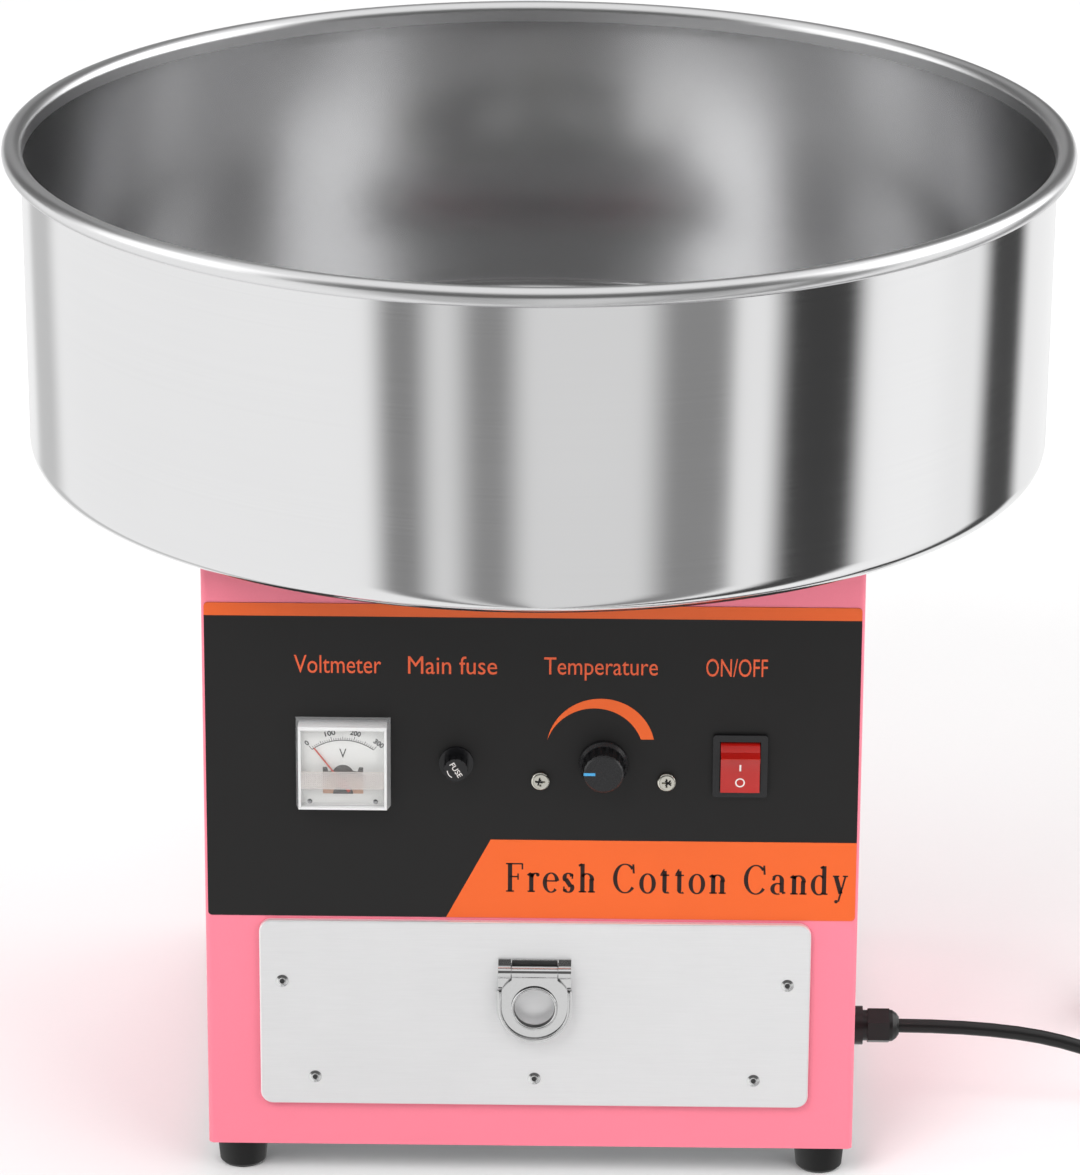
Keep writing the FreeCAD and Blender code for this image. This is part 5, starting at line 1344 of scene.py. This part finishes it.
# ------------------------------------------------------------------ controls
@dataclass
class Controls(SubAssembly):
    """Fuse cap, heat knob and rocker switch: their marks and finishes.

    Attributes:
        pointer: Length of the knob's pointer.
        pointer_wide: Its width.
        pointer_from: How far from the knob's axis it starts.
        ink: Thickness of the marks.
        word: Half the width of the fuse cap's word.
        arrow: Outer and inner radius of the fuse cap's curved mark.
        cap_turn: How far the cap's marks are turned, in degrees.
        on_z: Height of the rocker's on mark.
        on_half: Half of its width and of its height.
        off_z: Height of its off mark.
        off_ring: Outer and inner radius of its off mark.
        screw_head: Radius of a regulator screw's head.
        recess_half: Half the length and the width of an arm of its cross recess.
        recess_turns: How far the left and the right recess are turned, in degrees.
    """

    pointer: float = 5.5 * MM
    pointer_wide: float = 1.4 * MM
    pointer_from: float = 9.4 * MM
    ink: float = 0.08 * MM
    word: float = 3.9 * MM
    arrow: Flat = (4.2 * MM, 3.8 * MM)
    cap_turn: float = 57.0
    on_z: float = 218.1 * MM
    on_half: Flat = (0.42 * MM, 1.9 * MM)
    off_z: float = 209.9 * MM
    off_ring: Flat = (2.3 * MM, 1.7 * MM)
    screw_head: float = 3.9 * MM
    recess_half: Flat = (1.9 * MM, 0.42 * MM)
    recess_turns: Flat = (12.0, 40.0)

    def fuse(self) -> None:
        """The word and the curved mark on the fuse cap."""
        self.dress(Finishes.gloss_black, "fuse_holder", "fuse_cap")
        self.dress(Finishes.fuse_glass, "fuse_link")
        x, y, z = self.face("fuse_cap")
        front = y - self.ink
        words = Bench.lettering("fuse_word", "FUSE", (x - self.word, z - 1.1 * MM),
                                (x + self.word, z + 1.5 * MM), front, self.ink)
        outer, inner = self.arrow
        sweep = Bench.arc((x, z), outer, 240, 300, 14) + Bench.arc((x, z), inner, 300, 240, 14)
        arrow = Bench.plate("fuse_arrow", sweep, front, self.ink)
        marks = Bench.joined("fuse_marks", [words, arrow])
        marks.data.transform(Bench.swing((x, z), self.cap_turn))
        Bench.lay_on(marks, "fuse_cap", self.ink)
        self.fit(marks, Finishes.white_ink, "fuse_cap_body", "black_moulding")

    def knob(self) -> None:
        """The blue pointer on the heat knob."""
        self.dress(Finishes.knob_black, "heat_knob")
        self.dress(Finishes.regulator, "heat_regulator")
        x, y, z = self.face("heat_knob")
        left, half = x - self.pointer_from, self.pointer_wide / 2
        pointer = Bench.block("knob_pointer", (left, y - self.ink, z - half),
                              (left + self.pointer, y + 0.3 * MM, z + half), 0.03 * MM, 1)
        self.fit(pointer, Finishes.blue_paint, "knob", "black_moulding")

    def rocker(self) -> None:
        """The on and off marks of the rocker, on its hollow face."""
        self.dress(Finishes.gloss_black, "switch_housing")
        self.dress(Finishes.rocker_red, "power_rocker")
        x, y, _ = self.face("power_rocker")
        front = y - self.ink
        wide, tall = self.on_half
        bar = Bench.block("rocker_on", (x - wide, front, self.on_z - tall),
                          (x + wide, front + self.ink, self.on_z + tall), 0.02 * MM, 1)
        outer, inner = self.off_ring
        profile = [(outer, self.ink), (outer, 0.0), (inner, 0.0), (inner, self.ink), (outer, self.ink)]
        ring = Bench.turned("rocker_off", profile, 36, (x, front, self.off_z), INTO_PANEL)
        marks = Bench.lay_on(Bench.joined("rocker_marks", [bar, ring]), "power_rocker", self.ink)
        self.fit(marks, Finishes.white_ink, "rocker", "red_rocker")

    def regulator_recess_shade(self) -> None:
        """Painted shade: a near-black cross in the recess of each of the two screws beside the knob."""
        low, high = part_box("regulator_screws")
        z = (low.z + high.z) / 2
        long, wide = self.recess_half
        arm = Bench.block("recess", (-long, low.y - 0.04 * MM, -wide), (long, low.y + 0.3 * MM, wide),
                          0.1 * MM)
        places = []
        for x, tilt in zip((low.x + self.screw_head, high.x - self.screw_head), self.recess_turns):
            for turn in (tilt, tilt + 90.0):
                places.append(Matrix.Translation((x, 0, z)) @ Bench.swing((0.0, 0.0), turn))
        arms = Bench.repeated(arm, places)
        # The painted shade in the recesses uses the dial's black ink.
        self.fit(Bench.joined("screw_recess_shade", arms), Finishes.black_ink, "cabinet", "screw_steel")

    def build(self) -> None:
        """Makes them all."""
        self.fuse()
        self.regulator_recess_shade()
        self.knob()
        self.rocker()


# ------------------------------------------------------------------ drawer
@dataclass
class StorageDrawer(SubAssembly):
    """The steel drawer, its rivets and its hinged pull.

    Attributes:
        corner: Radius of the front's corners.
        sheet: Thickness of its sheet.
        edge: Radius of the bend round the front.
        bead: Half the width of the pull's raised edge.
        bead_proud: How far the edge stands out.
        hole: Radius of the pull's finger hole.
        collar: Depth of the hole's wall.
        neck: Half the width of the pull between its ears.
        hinge_shade_tall: Height of the painted shade over the hinge.
        rivet: Outer radius of a rivet's head.
        rivet_side: How far the outer two of the lower rivets are from the middle one.
        pull_low: Height of the pull's lowest point.
        pull_shoulder: Height of the shoulders under its ears.
        pull_margin: Width of the level edge outside the raised one.
        hole_shade_layer: Thickness of the painted shade laid on the finger hole's wall.
    """

    corner: float = 6 * MM
    sheet: float = 1 * MM
    edge: float = 0.8 * MM
    bead: float = 0.7 * MM
    bead_proud: float = 0.45 * MM
    hole: float = 9.8 * MM
    collar: float = 3.0 * MM
    neck: float = 11 * MM
    hinge_shade_tall: float = 3.4 * MM
    rivet: float = 3.1 * MM
    rivet_side: float = 106 * MM
    pull_low: float = 76.5 * MM
    pull_shoulder: float = 103.3 * MM
    pull_margin: float = 0.9 * MM
    hole_shade_layer: float = 0.1 * MM

    def front(self) -> None:
        """The pressed front: a flat sheet whose edges are bent back all round."""
        low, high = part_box("drawer_front")
        x0, z0, x1, z1, r = low.x, low.z, high.x, high.z, self.corner
        right, left, low_z, high_z = x1 - r, x0 + r, z0 + r, z1 - r
        outline = Bench.arc((right, low_z), r, -90, 0, 10) + Bench.arc((right, high_z), r, 0, 90, 10)
        outline += Bench.arc((left, high_z), r, 90, 180, 10) + Bench.arc((left, low_z), r, 180, 270, 10)
        panel = Bench.plate("pressed_front", outline, low.y, high.y - low.y)
        Bench.pick(panel, INTO_PANEL)
        bpy.ops.mesh.inset(thickness=self.sheet, depth=0.0)
        depth = Vector((0, low.y - high.y + self.sheet, 0))
        bpy.ops.mesh.extrude_region_move(TRANSFORM_OT_translate={"value": depth})
        Bench.pick(panel, OUT_OF_PANEL)
        bpy.ops.mesh.bevel(offset=self.edge, segments=4, affect="EDGES")
        Bench.settle(panel, 40.0)
        self.fit(panel, Finishes.drawer_steel, "drawer", "drawer_steel", ["drawer_front"])

    def pull_edges(self) -> None:
        """The raised edge round the pull, the rolled lip round its finger hole, and painted shade on
        the hole's wall.
        """
        low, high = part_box("drawer_pull")
        x = (low.x + high.x) / 2
        half = (high.x - low.x) / 2
        middle = (x, self.pull_low + half)
        outer = half - self.pull_margin
        inner = outer - 2 * self.bead
        outline = [(x - outer, self.pull_shoulder)] + Bench.arc(middle, outer, 180, 360, 40)
        outline += [(x + outer, self.pull_shoulder), (x + inner, self.pull_shoulder)]
        outline += Bench.arc(middle, inner, 360, 180, 40) + [(x - inner, self.pull_shoulder)]
        edge = Bench.plate("pull_edge", outline, low.y - self.bead_proud, self.bead_proud + 0.3 * MM)
        Bench.pick(edge, OUT_OF_PANEL)
        bpy.ops.mesh.bevel(offset=self.bead * 0.75, segments=4, affect="EDGES")
        Bench.settle(edge, 50.0)
        lip_r = self.hole + self.bead
        profile = [(self.hole, 0.4 * MM)]
        profile += [(lip_r - u, -v) for u, v in Bench.arc((0.0, 0.0), self.bead, 0, 180, 12)]
        profile += [(lip_r + self.bead, 0.4 * MM)]
        at = (x, low.y, middle[1])
        lip = Bench.turned("pull_lip", profile, 72, at, INTO_PANEL)
        self.fit(Bench.joined("pull_edges", [edge, lip]), Finishes.bright_plate, "pull", "chrome_plate")
        # Painted shade: a thin near-black skin on the finger hole's wall, where the hole is in shade.
        wall, mouth = self.hole - 0.02 * MM, 0.3 * MM
        thin = wall - self.hole_shade_layer
        shade = [(wall, mouth), (thin, mouth), (thin, self.collar), (wall, self.collar), (wall, mouth)]
        hole_shade_layer = Bench.turned("pull_hole_painted_shade", shade, 72, at, INTO_PANEL)
        self.fit(hole_shade_layer, Finishes.shaded_steel, "pull", "chrome_plate")

    def paint_gap_shade(self) -> None:
        """Painted shade: a near-black bar over the pull's hinge and near-black dishes in the rivets'
        hollow cores.
        """
        low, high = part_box("pull_bracket")
        x, top = (low.x + high.x) / 2, high.z - 0.6 * MM
        # Painted shade: a near-black bar stands in for the shade over the pull's hinge.
        gap = Bench.block("hinge_shade", (x - self.neck, high.y - 0.9 * MM, top - self.hinge_shade_tall),
                          (x + self.neck, high.y - 0.6 * MM, top), 0.08 * MM)
        self.fit(gap, Finishes.shaded_steel, "drawer", "chrome_plate")
        low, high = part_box("drawer_rivets")
        centre, r = (low.x + high.x) / 2, self.rivet
        lower = (centre, centre - self.rivet_side, centre + self.rivet_side)
        spots = [(x, low.z + r) for x in lower] + [(x, high.z - r) for x in (low.x + r, high.x - r)]
        # Painted shade: near-black dishes stand in for the shade inside each rivet's hollow core.
        hollow = [(0.0, 0.12 * MM), (0.7 * MM, 0.1 * MM), (1.15 * MM, -0.1 * MM), (1.15 * MM, 0.5 * MM)]
        core = Bench.turned("core", hollow, 24, axis=INTO_PANEL)
        cores = Bench.repeated(core, [Matrix.Translation((x, low.y, z)) for x, z in spots])
        self.fit(Bench.joined("rivet_core_shade", cores), Finishes.shaded_steel, "drawer", "rivet_alloy")

    def build(self) -> None:
        """Makes the front and the pull's edges, and dresses the rest."""
        self.dress(Finishes.drawer_steel, "drawer_tray", "drawer_front")
        self.dress(Finishes.rivet_alloy, "drawer_rivets")
        self.dress(Finishes.bright_plate, "pull_bracket", "drawer_pull")
        self.front()
        self.pull_edges()
        self.paint_gap_shade()


# ------------------------------------------------------------------ mains lead
@dataclass
class MainsLead(SubAssembly):
    """The mains cord from its gland to its plug, wound up beside the machine.

    Attributes:
        diameter: The cord's diameter.
        length: Its real length. Not used.
        route: From the gland's mouth to the coil.
        tail: From the coil to the plug.
        coil_at: Middle of the coil.
        coil_outer: Radius of the outermost turn.
        pitch: How far one turn lies inside the next.
        layer_low: Height of the lower layer's line.
        start_angle: Where the cord joins the coil, in degrees.
        turns: Number of turns.
        points_per_turn: Points of the line in each turn.
        climb: The turns between which the cord rises to the upper layer.
        tie_bearings: Where on the coil the ties are, in degrees.
        strap_half: Half the width of a tie.
        strap: Its thickness.
        strap_corner: Radius of its corners.
        strap_slack: How far it stands off the cord.
    """

    diameter: float = 7 * MM
    length: float = 1.8
    route: tuple[Place, ...] = (
        (0.1800, -0.0900, 0.0530),
        (0.2340, -0.0900, 0.0530),
        (0.2900, -0.0880, 0.0365),
        (0.3380, -0.0835, 0.0095),
    )
    tail: tuple[Place, ...] = (
        (0.4298, 0.0030, 0.0106),
        (0.4148, 0.0290, 0.0112),
        (0.3888, 0.0440, 0.0152),
        (0.3650, 0.0440, 0.0180),
    )
    coil_at: Flat = (0.380, -0.030)
    coil_outer: float = 49.8 * MM
    pitch: float = 7.1 * MM
    layer_low: float = 4.7 * MM
    start_angle: float = -82.0
    turns: float = 6 + 82 / 360
    points_per_turn: int = 18
    climb: Flat = (3.03, 3.19)
    tie_bearings: tuple[float, ...] = (35.0, 215.0)
    strap_half: float = 2.2 * MM
    strap: float = 0.7 * MM
    strap_corner: float = 2.5 * MM
    strap_slack: float = 0.1 * MM

    def coil_point(self, turn: float) -> Place:
        """A place on the coil's line: inwards on the floor, up, and outwards on top.

        Args:
            turn: How many turns the cord has made.

        Returns:
            The place.
        """
        up, level = self.climb
        inner = self.coil_outer - self.pitch * up
        if turn < up:
            radius = self.coil_outer - self.pitch * turn
        else:
            radius = inner + self.pitch * max(0.0, turn - level)
        rise = min(1.0, max(0.0, (turn - up) / (level - up)))
        angle = math.radians(self.start_angle + 360 * turn)
        x = self.coil_at[0] + radius * math.cos(angle)
        y = self.coil_at[1] + radius * math.sin(angle)
        return x, y, self.layer_low + self.diameter * rise

    def line(self) -> list[Place]:
        """The whole cord's line: its route, its turns and its tail.

        Returns:
            The control points.
        """
        count = round(self.turns * self.points_per_turn)
        wound = [self.coil_point(self.turns * i / count) for i in range(count + 1)]
        return list(self.route) + wound + list(self.tail)

    def cord(self) -> bpy.types.Object:
        """The cord as one smooth round curve.

        Returns:
            The curve object.
        """
        Bench.clear()
        points = self.line()
        curve = bpy.data.curves.new("mains_lead", "CURVE")
        curve.dimensions = "3D"
        spline = curve.splines.new("NURBS")
        spline.points.add(len(points) - 1)
        for spot, place in zip(spline.points, points):
            spot.co = (*place, 1.0)
        spline.order_u = 3
        spline.use_endpoint_u = True
        spline.resolution_u = 6
        curve.bevel_depth = self.diameter / 2
        curve.bevel_resolution = 5
        curve.use_fill_caps = True
        piece = bpy.data.objects.new("mains_lead", curve)
        bpy.context.scene.collection.objects.link(piece)
        return piece

    def ties(self) -> list[bpy.types.Object]:
        """The flat straps round all the coil's turns.

        Returns:
            The straps.
        """
        reach = self.diameter / 2 + self.strap_slack
        inner = self.coil_outer - self.pitch * self.climb[0] - reach
        outer = self.coil_outer + reach
        low, high = self.layer_low - reach, self.layer_low + self.diameter + reach
        r = self.strap_corner
        loop = Bench.arc((outer - r, high - r), r, 0, 90, 5)
        loop += Bench.arc((inner + r, high - r), r, 90, 180, 5)
        loop += Bench.arc((inner + r, low + r), r, 180, 270, 5)
        loop += Bench.arc((outer - r, low + r), r, 270, 360, 5)
        loop.append(loop[0])
        line = [Vector((u, -self.strap_half, v)) for u, v in loop]
        tie = Bench.point("cord_tie", line[0])
        Bench.draw(line)
        bpy.ops.mesh.select_all(action="SELECT")
        bpy.ops.mesh.remove_doubles(threshold=MERGE_GAP)
        across = Vector((0, 2 * self.strap_half, 0))
        bpy.ops.mesh.extrude_region_move(TRANSFORM_OT_translate={"value": across})
        Bench.settle(tie)
        wall = tie.modifiers.new("wall", "SOLIDIFY")
        wall.thickness = self.strap
        wall.offset = 1.0
        bpy.ops.object.modifier_apply(modifier="wall")
        middle = Matrix.Translation((*self.coil_at, 0))
        places = [middle @ Matrix.Rotation(math.radians(bearing), 4, "Z")
                  for bearing in self.tie_bearings]
        straps = Bench.repeated(Bench.settle(tie), places)
        for i, strap in enumerate(straps):
            strap.name = f"cord_tie_{i + 1}"
            self.fit(strap, Finishes.nylon, "cabinet", "black_nylon")
        return straps

    def build(self) -> None:
        """Makes the cord and its ties, and dresses the gland and the plug."""
        self.dress(Finishes.nylon, "gland_body", "gland_cap", "mains_plug")
        cord = self.cord()
        self.fit(cord, Finishes.cord_pvc, "cabinet", "cord_sheath",
                 ["mains_cord", "cord_coil", "cord_tail"])
        [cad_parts["mains_plug"]] + self.ties()


# ------------------------------------------------------------------ studio
@dataclass(frozen=True)
class Card:
    """One upright card or soft box round the machine, as polished metal reflects it.

    Attributes:
        bearing: Its direction in degrees from the front, positive to the right.
        half: Half of its width, in degrees.
        soft: Width of its soft edge, in degrees.
        tone: How bright it is.
    """

    bearing: float
    half: float
    soft: float
    tone: float


@dataclass(frozen=True)
class Lamp:
    """A square light that faces the machine and shows in no reflection.

    Attributes:
        name: Its name.
        at: Where it is.
        size: Its side.
        watts: Its power.
    """

    name: str
    at: Place
    size: float
    watts: float


@dataclass
class Studio:
    """Camera, lights, surroundings and floor.

    Attributes:
        low_ring: Cards that stand below the eye line.
        high_ring: Cards and soft boxes above it.
        low_tone: Brightness between the low cards.
        high_tone: Brightness between the high ones.
        top_tone: Brightness of the ceiling.
        backdrop: Brightness of what the camera sees behind the machine.
        ring_fade: Where the low ring gives way to the high one, as the sine of the height.
        top_fade: Where the high ring gives way to the ceiling.
        lamps: The lights.
        lamp_aim: Height that the lights are aimed at.
        floor_side: Length of the floor's side.
        eye: Where the camera is.
        yaw: Its turn to the right, in radians.
        pitch: How far it looks down, in radians.
        roll: Its turn about its own line of sight, in radians.
        lens: Its focal length in millimetres.
        film: Width of its film in millimetres.
        far: How far it sees.
    """

    low_ring: tuple[Card, ...] = (
        Card(-146, 4, 10, 0.60),
        Card(-175, 10, 12, 0.95),
        Card(4, 26, 16, 0.78),
        Card(-29.5, 1.5, 7.5, 0.26),
        Card(-10, 1.5, 8.5, 0.28),
        Card(36, 4, 10, 0.28),
        Card(48, 0.5, 4.5, 0.95),
        Card(66, 6.5, 8.5, 0.055),
        Card(92, 4, 14, 1.05),
        Card(128, 5, 9, 0.07),
    )
    high_ring: tuple[Card, ...] = (
        Card(103, 25, 18, 2.0),
        Card(-84, 16, 22, 1.55),
        Card(-168, 8, 16, 0.28),
    )
    low_tone: float = 0.98
    high_tone: float = 0.11
    top_tone: float = 0.9
    backdrop: float = 0.95
    ring_fade: Flat = (-0.02, 0.06)
    top_fade: Flat = (0.62, 0.85)
    lamps: tuple[Lamp, ...] = (
        Lamp("key_light", (-1.2, -2.2, 2.4), 1.6, 60),
        Lamp("fill_light", (1.6, -1.8, 1.5), 1.6, 25),
        Lamp("back_light", (0.3, 2.2, 2.4), 1.8, 30),
    )
    lamp_aim: float = 0.2
    floor_side: float = 60.0
    eye: Place = (34.67 * MM, -2750.99 * MM, 1252.03 * MM)
    yaw: float = -0.01208
    pitch: float = 0.34956
    roll: float = 0.0052
    lens: float = 180.08
    film: float = 36.0
    far: float = 60.0

    def camera(self) -> None:
        """Sets the camera."""
        Bench.clear()
        level = math.cos(self.pitch)
        ahead = Vector((math.sin(self.yaw) * level, math.cos(self.yaw) * level, -math.sin(self.pitch)))
        right = Vector((math.cos(self.yaw), -math.sin(self.yaw), 0))
        up = right.cross(ahead)
        side = right * math.cos(self.roll) + up * math.sin(self.roll)
        top = up * math.cos(self.roll) - right * math.sin(self.roll)
        data = bpy.data.cameras.new("camera")
        data.lens = self.lens
        data.sensor_width = self.film
        data.clip_end = self.far
        camera = bpy.data.objects.new("camera", data)
        aim = Matrix((side, top, -ahead)).transposed().to_4x4()
        camera.matrix_world = Matrix.Translation(self.eye) @ aim
        bpy.context.scene.collection.objects.link(camera)
        bpy.context.scene.camera = camera

    def ring(self, sheet: NodeSheet, flat: bpy.types.NodeSocket, cards: Iterable[Card],
             tone: float) -> bpy.types.NodeSocket:
        """The brightness all round at one height.

        Args:
            sheet: The world's nodes.
            flat: The level direction, of length one.
            cards: What stands there.
            tone: Brightness between the cards.

        Returns:
            The brightness.
        """
        value: object = tone
        for card in cards:
            bearing = math.radians(card.bearing)
            aim = sheet.add("VectorMath", operation="DOT_PRODUCT")
            sheet.link(flat, aim.inputs[0])
            aim.inputs[1].default_value = (math.sin(bearing), -math.cos(bearing), 0)
            apart = sheet.math("ARCCOSINE", sheet.math("MINIMUM", aim.outputs["Value"], 0.999999))
            edge = sheet.add("MapRange", interpolation_type="SMOOTHSTEP",
                             in_From_Min=math.radians(card.half + card.soft),
                             in_From_Max=math.radians(card.half), in_To_Min=0.0, in_To_Max=1.0)
            sheet.link(apart, edge.inputs["Value"])
            mask = edge.outputs["Result"]
            kept = sheet.math("MULTIPLY", value, sheet.math("SUBTRACT", 1.0, mask))
            value = sheet.math("MULTIPLY_ADD", mask, card.tone, kept)
        return value

    def surroundings(self) -> None:
        """A room of soft boxes and dark cards, pale where the camera looks straight at it."""
        world = bpy.data.worlds.new("studio")
        bpy.context.scene.world = world
        world.use_nodes = True
        world.node_tree.nodes.clear()
        sheet = NodeSheet(world.node_tree)
        way = sheet.add("TexCoord").outputs["Generated"]
        parts = sheet.add("SeparateXYZ")
        sheet.link(way, parts.inputs[0])
        level = sheet.add("CombineXYZ")
        sheet.link(parts.outputs[0], level.inputs[0])
        sheet.link(parts.outputs[1], level.inputs[1])
        unit = sheet.add("VectorMath", operation="NORMALIZE")
        sheet.link(level.outputs[0], unit.inputs[0])
        low = self.ring(sheet, unit.outputs[0], self.low_ring, self.low_tone)
        high = self.ring(sheet, unit.outputs[0], self.high_ring, self.high_tone)
        tone = self.blended(sheet, parts.outputs[2], self.ring_fade, low, high)
        tone = self.blended(sheet, parts.outputs[2], self.top_fade, tone, self.top_tone)
        straight = sheet.add("LightPath").outputs["Is Camera Ray"]
        seen = sheet.math("MULTIPLY", straight, self.backdrop)
        rest = sheet.math("MULTIPLY", sheet.math("SUBTRACT", 1.0, straight), tone)
        light = sheet.add("Background")
        sheet.link(sheet.math("ADD", seen, rest), light.inputs["Color"])
        output = sheet.add("OutputWorld")
        sheet.link(light.outputs[0], output.inputs["Surface"])

    @staticmethod
    def blended(sheet: NodeSheet, height: bpy.types.NodeSocket, span: Flat, below: object,
                above: object) -> bpy.types.NodeSocket:
        """Fades from one brightness to another with height.

        Args:
            sheet: The world's nodes.
            height: The upward part of the direction.
            span: Where the fade starts and ends.
            below: Brightness under the fade.
            above: Brightness over it.

        Returns:
            The brightness.
        """
        fade = sheet.add("MapRange", interpolation_type="SMOOTHSTEP", in_From_Min=span[0],
                         in_From_Max=span[1])
        sheet.link(height, fade.inputs["Value"])
        share = fade.outputs["Result"]
        lower = sheet.math("MULTIPLY", sheet.math("SUBTRACT", 1.0, share), below)
        return sheet.math("ADD", lower, sheet.math("MULTIPLY", share, above))

    def light(self, lamp: Lamp) -> None:
        """Sets up one lamp."""
        data = bpy.data.lights.new(lamp.name, "AREA")
        data.size = lamp.size
        data.energy = lamp.watts
        box = bpy.data.objects.new(lamp.name, data)
        box.location = lamp.at
        aim = Vector((0, 0, self.lamp_aim)) - Vector(lamp.at)
        box.rotation_euler = aim.to_track_quat("-Z", "Y").to_euler()
        box.visible_glossy = False
        bpy.context.scene.collection.objects.link(box)

    def floor(self) -> None:
        """A wide pale floor that polished metal looks past."""
        Bench.clear()
        bpy.ops.mesh.primitive_plane_add(size=self.floor_side, location=(0, 0, 0))
        floor = bpy.context.object
        floor.name = "studio_floor"
        floor.data.materials.append(Finishes.floor.material())
        floor.visible_glossy = False

    def build(self) -> None:
        """Sets the whole studio."""
        bpy.context.scene.view_settings.view_transform = "Standard"
        self.camera()
        self.surroundings()
        self.floor()
        for lamp in self.lamps:
            self.light(lamp)


def main() -> None:
    """Builds every sub-assembly in order."""
    logging.basicConfig(level=logging.INFO, format="%(message)s")
    Studio().build()
    for assembly in (
        MainsLead(), SugarBowl(), SpinningHead(), Cabinet(), PanelPrint(), PanelMeter(), Controls(),
        StorageDrawer(),
    ):
        LOG.info("building %s", type(assembly).__name__)
        assembly.build()


if __name__ == "__main__":
    main()
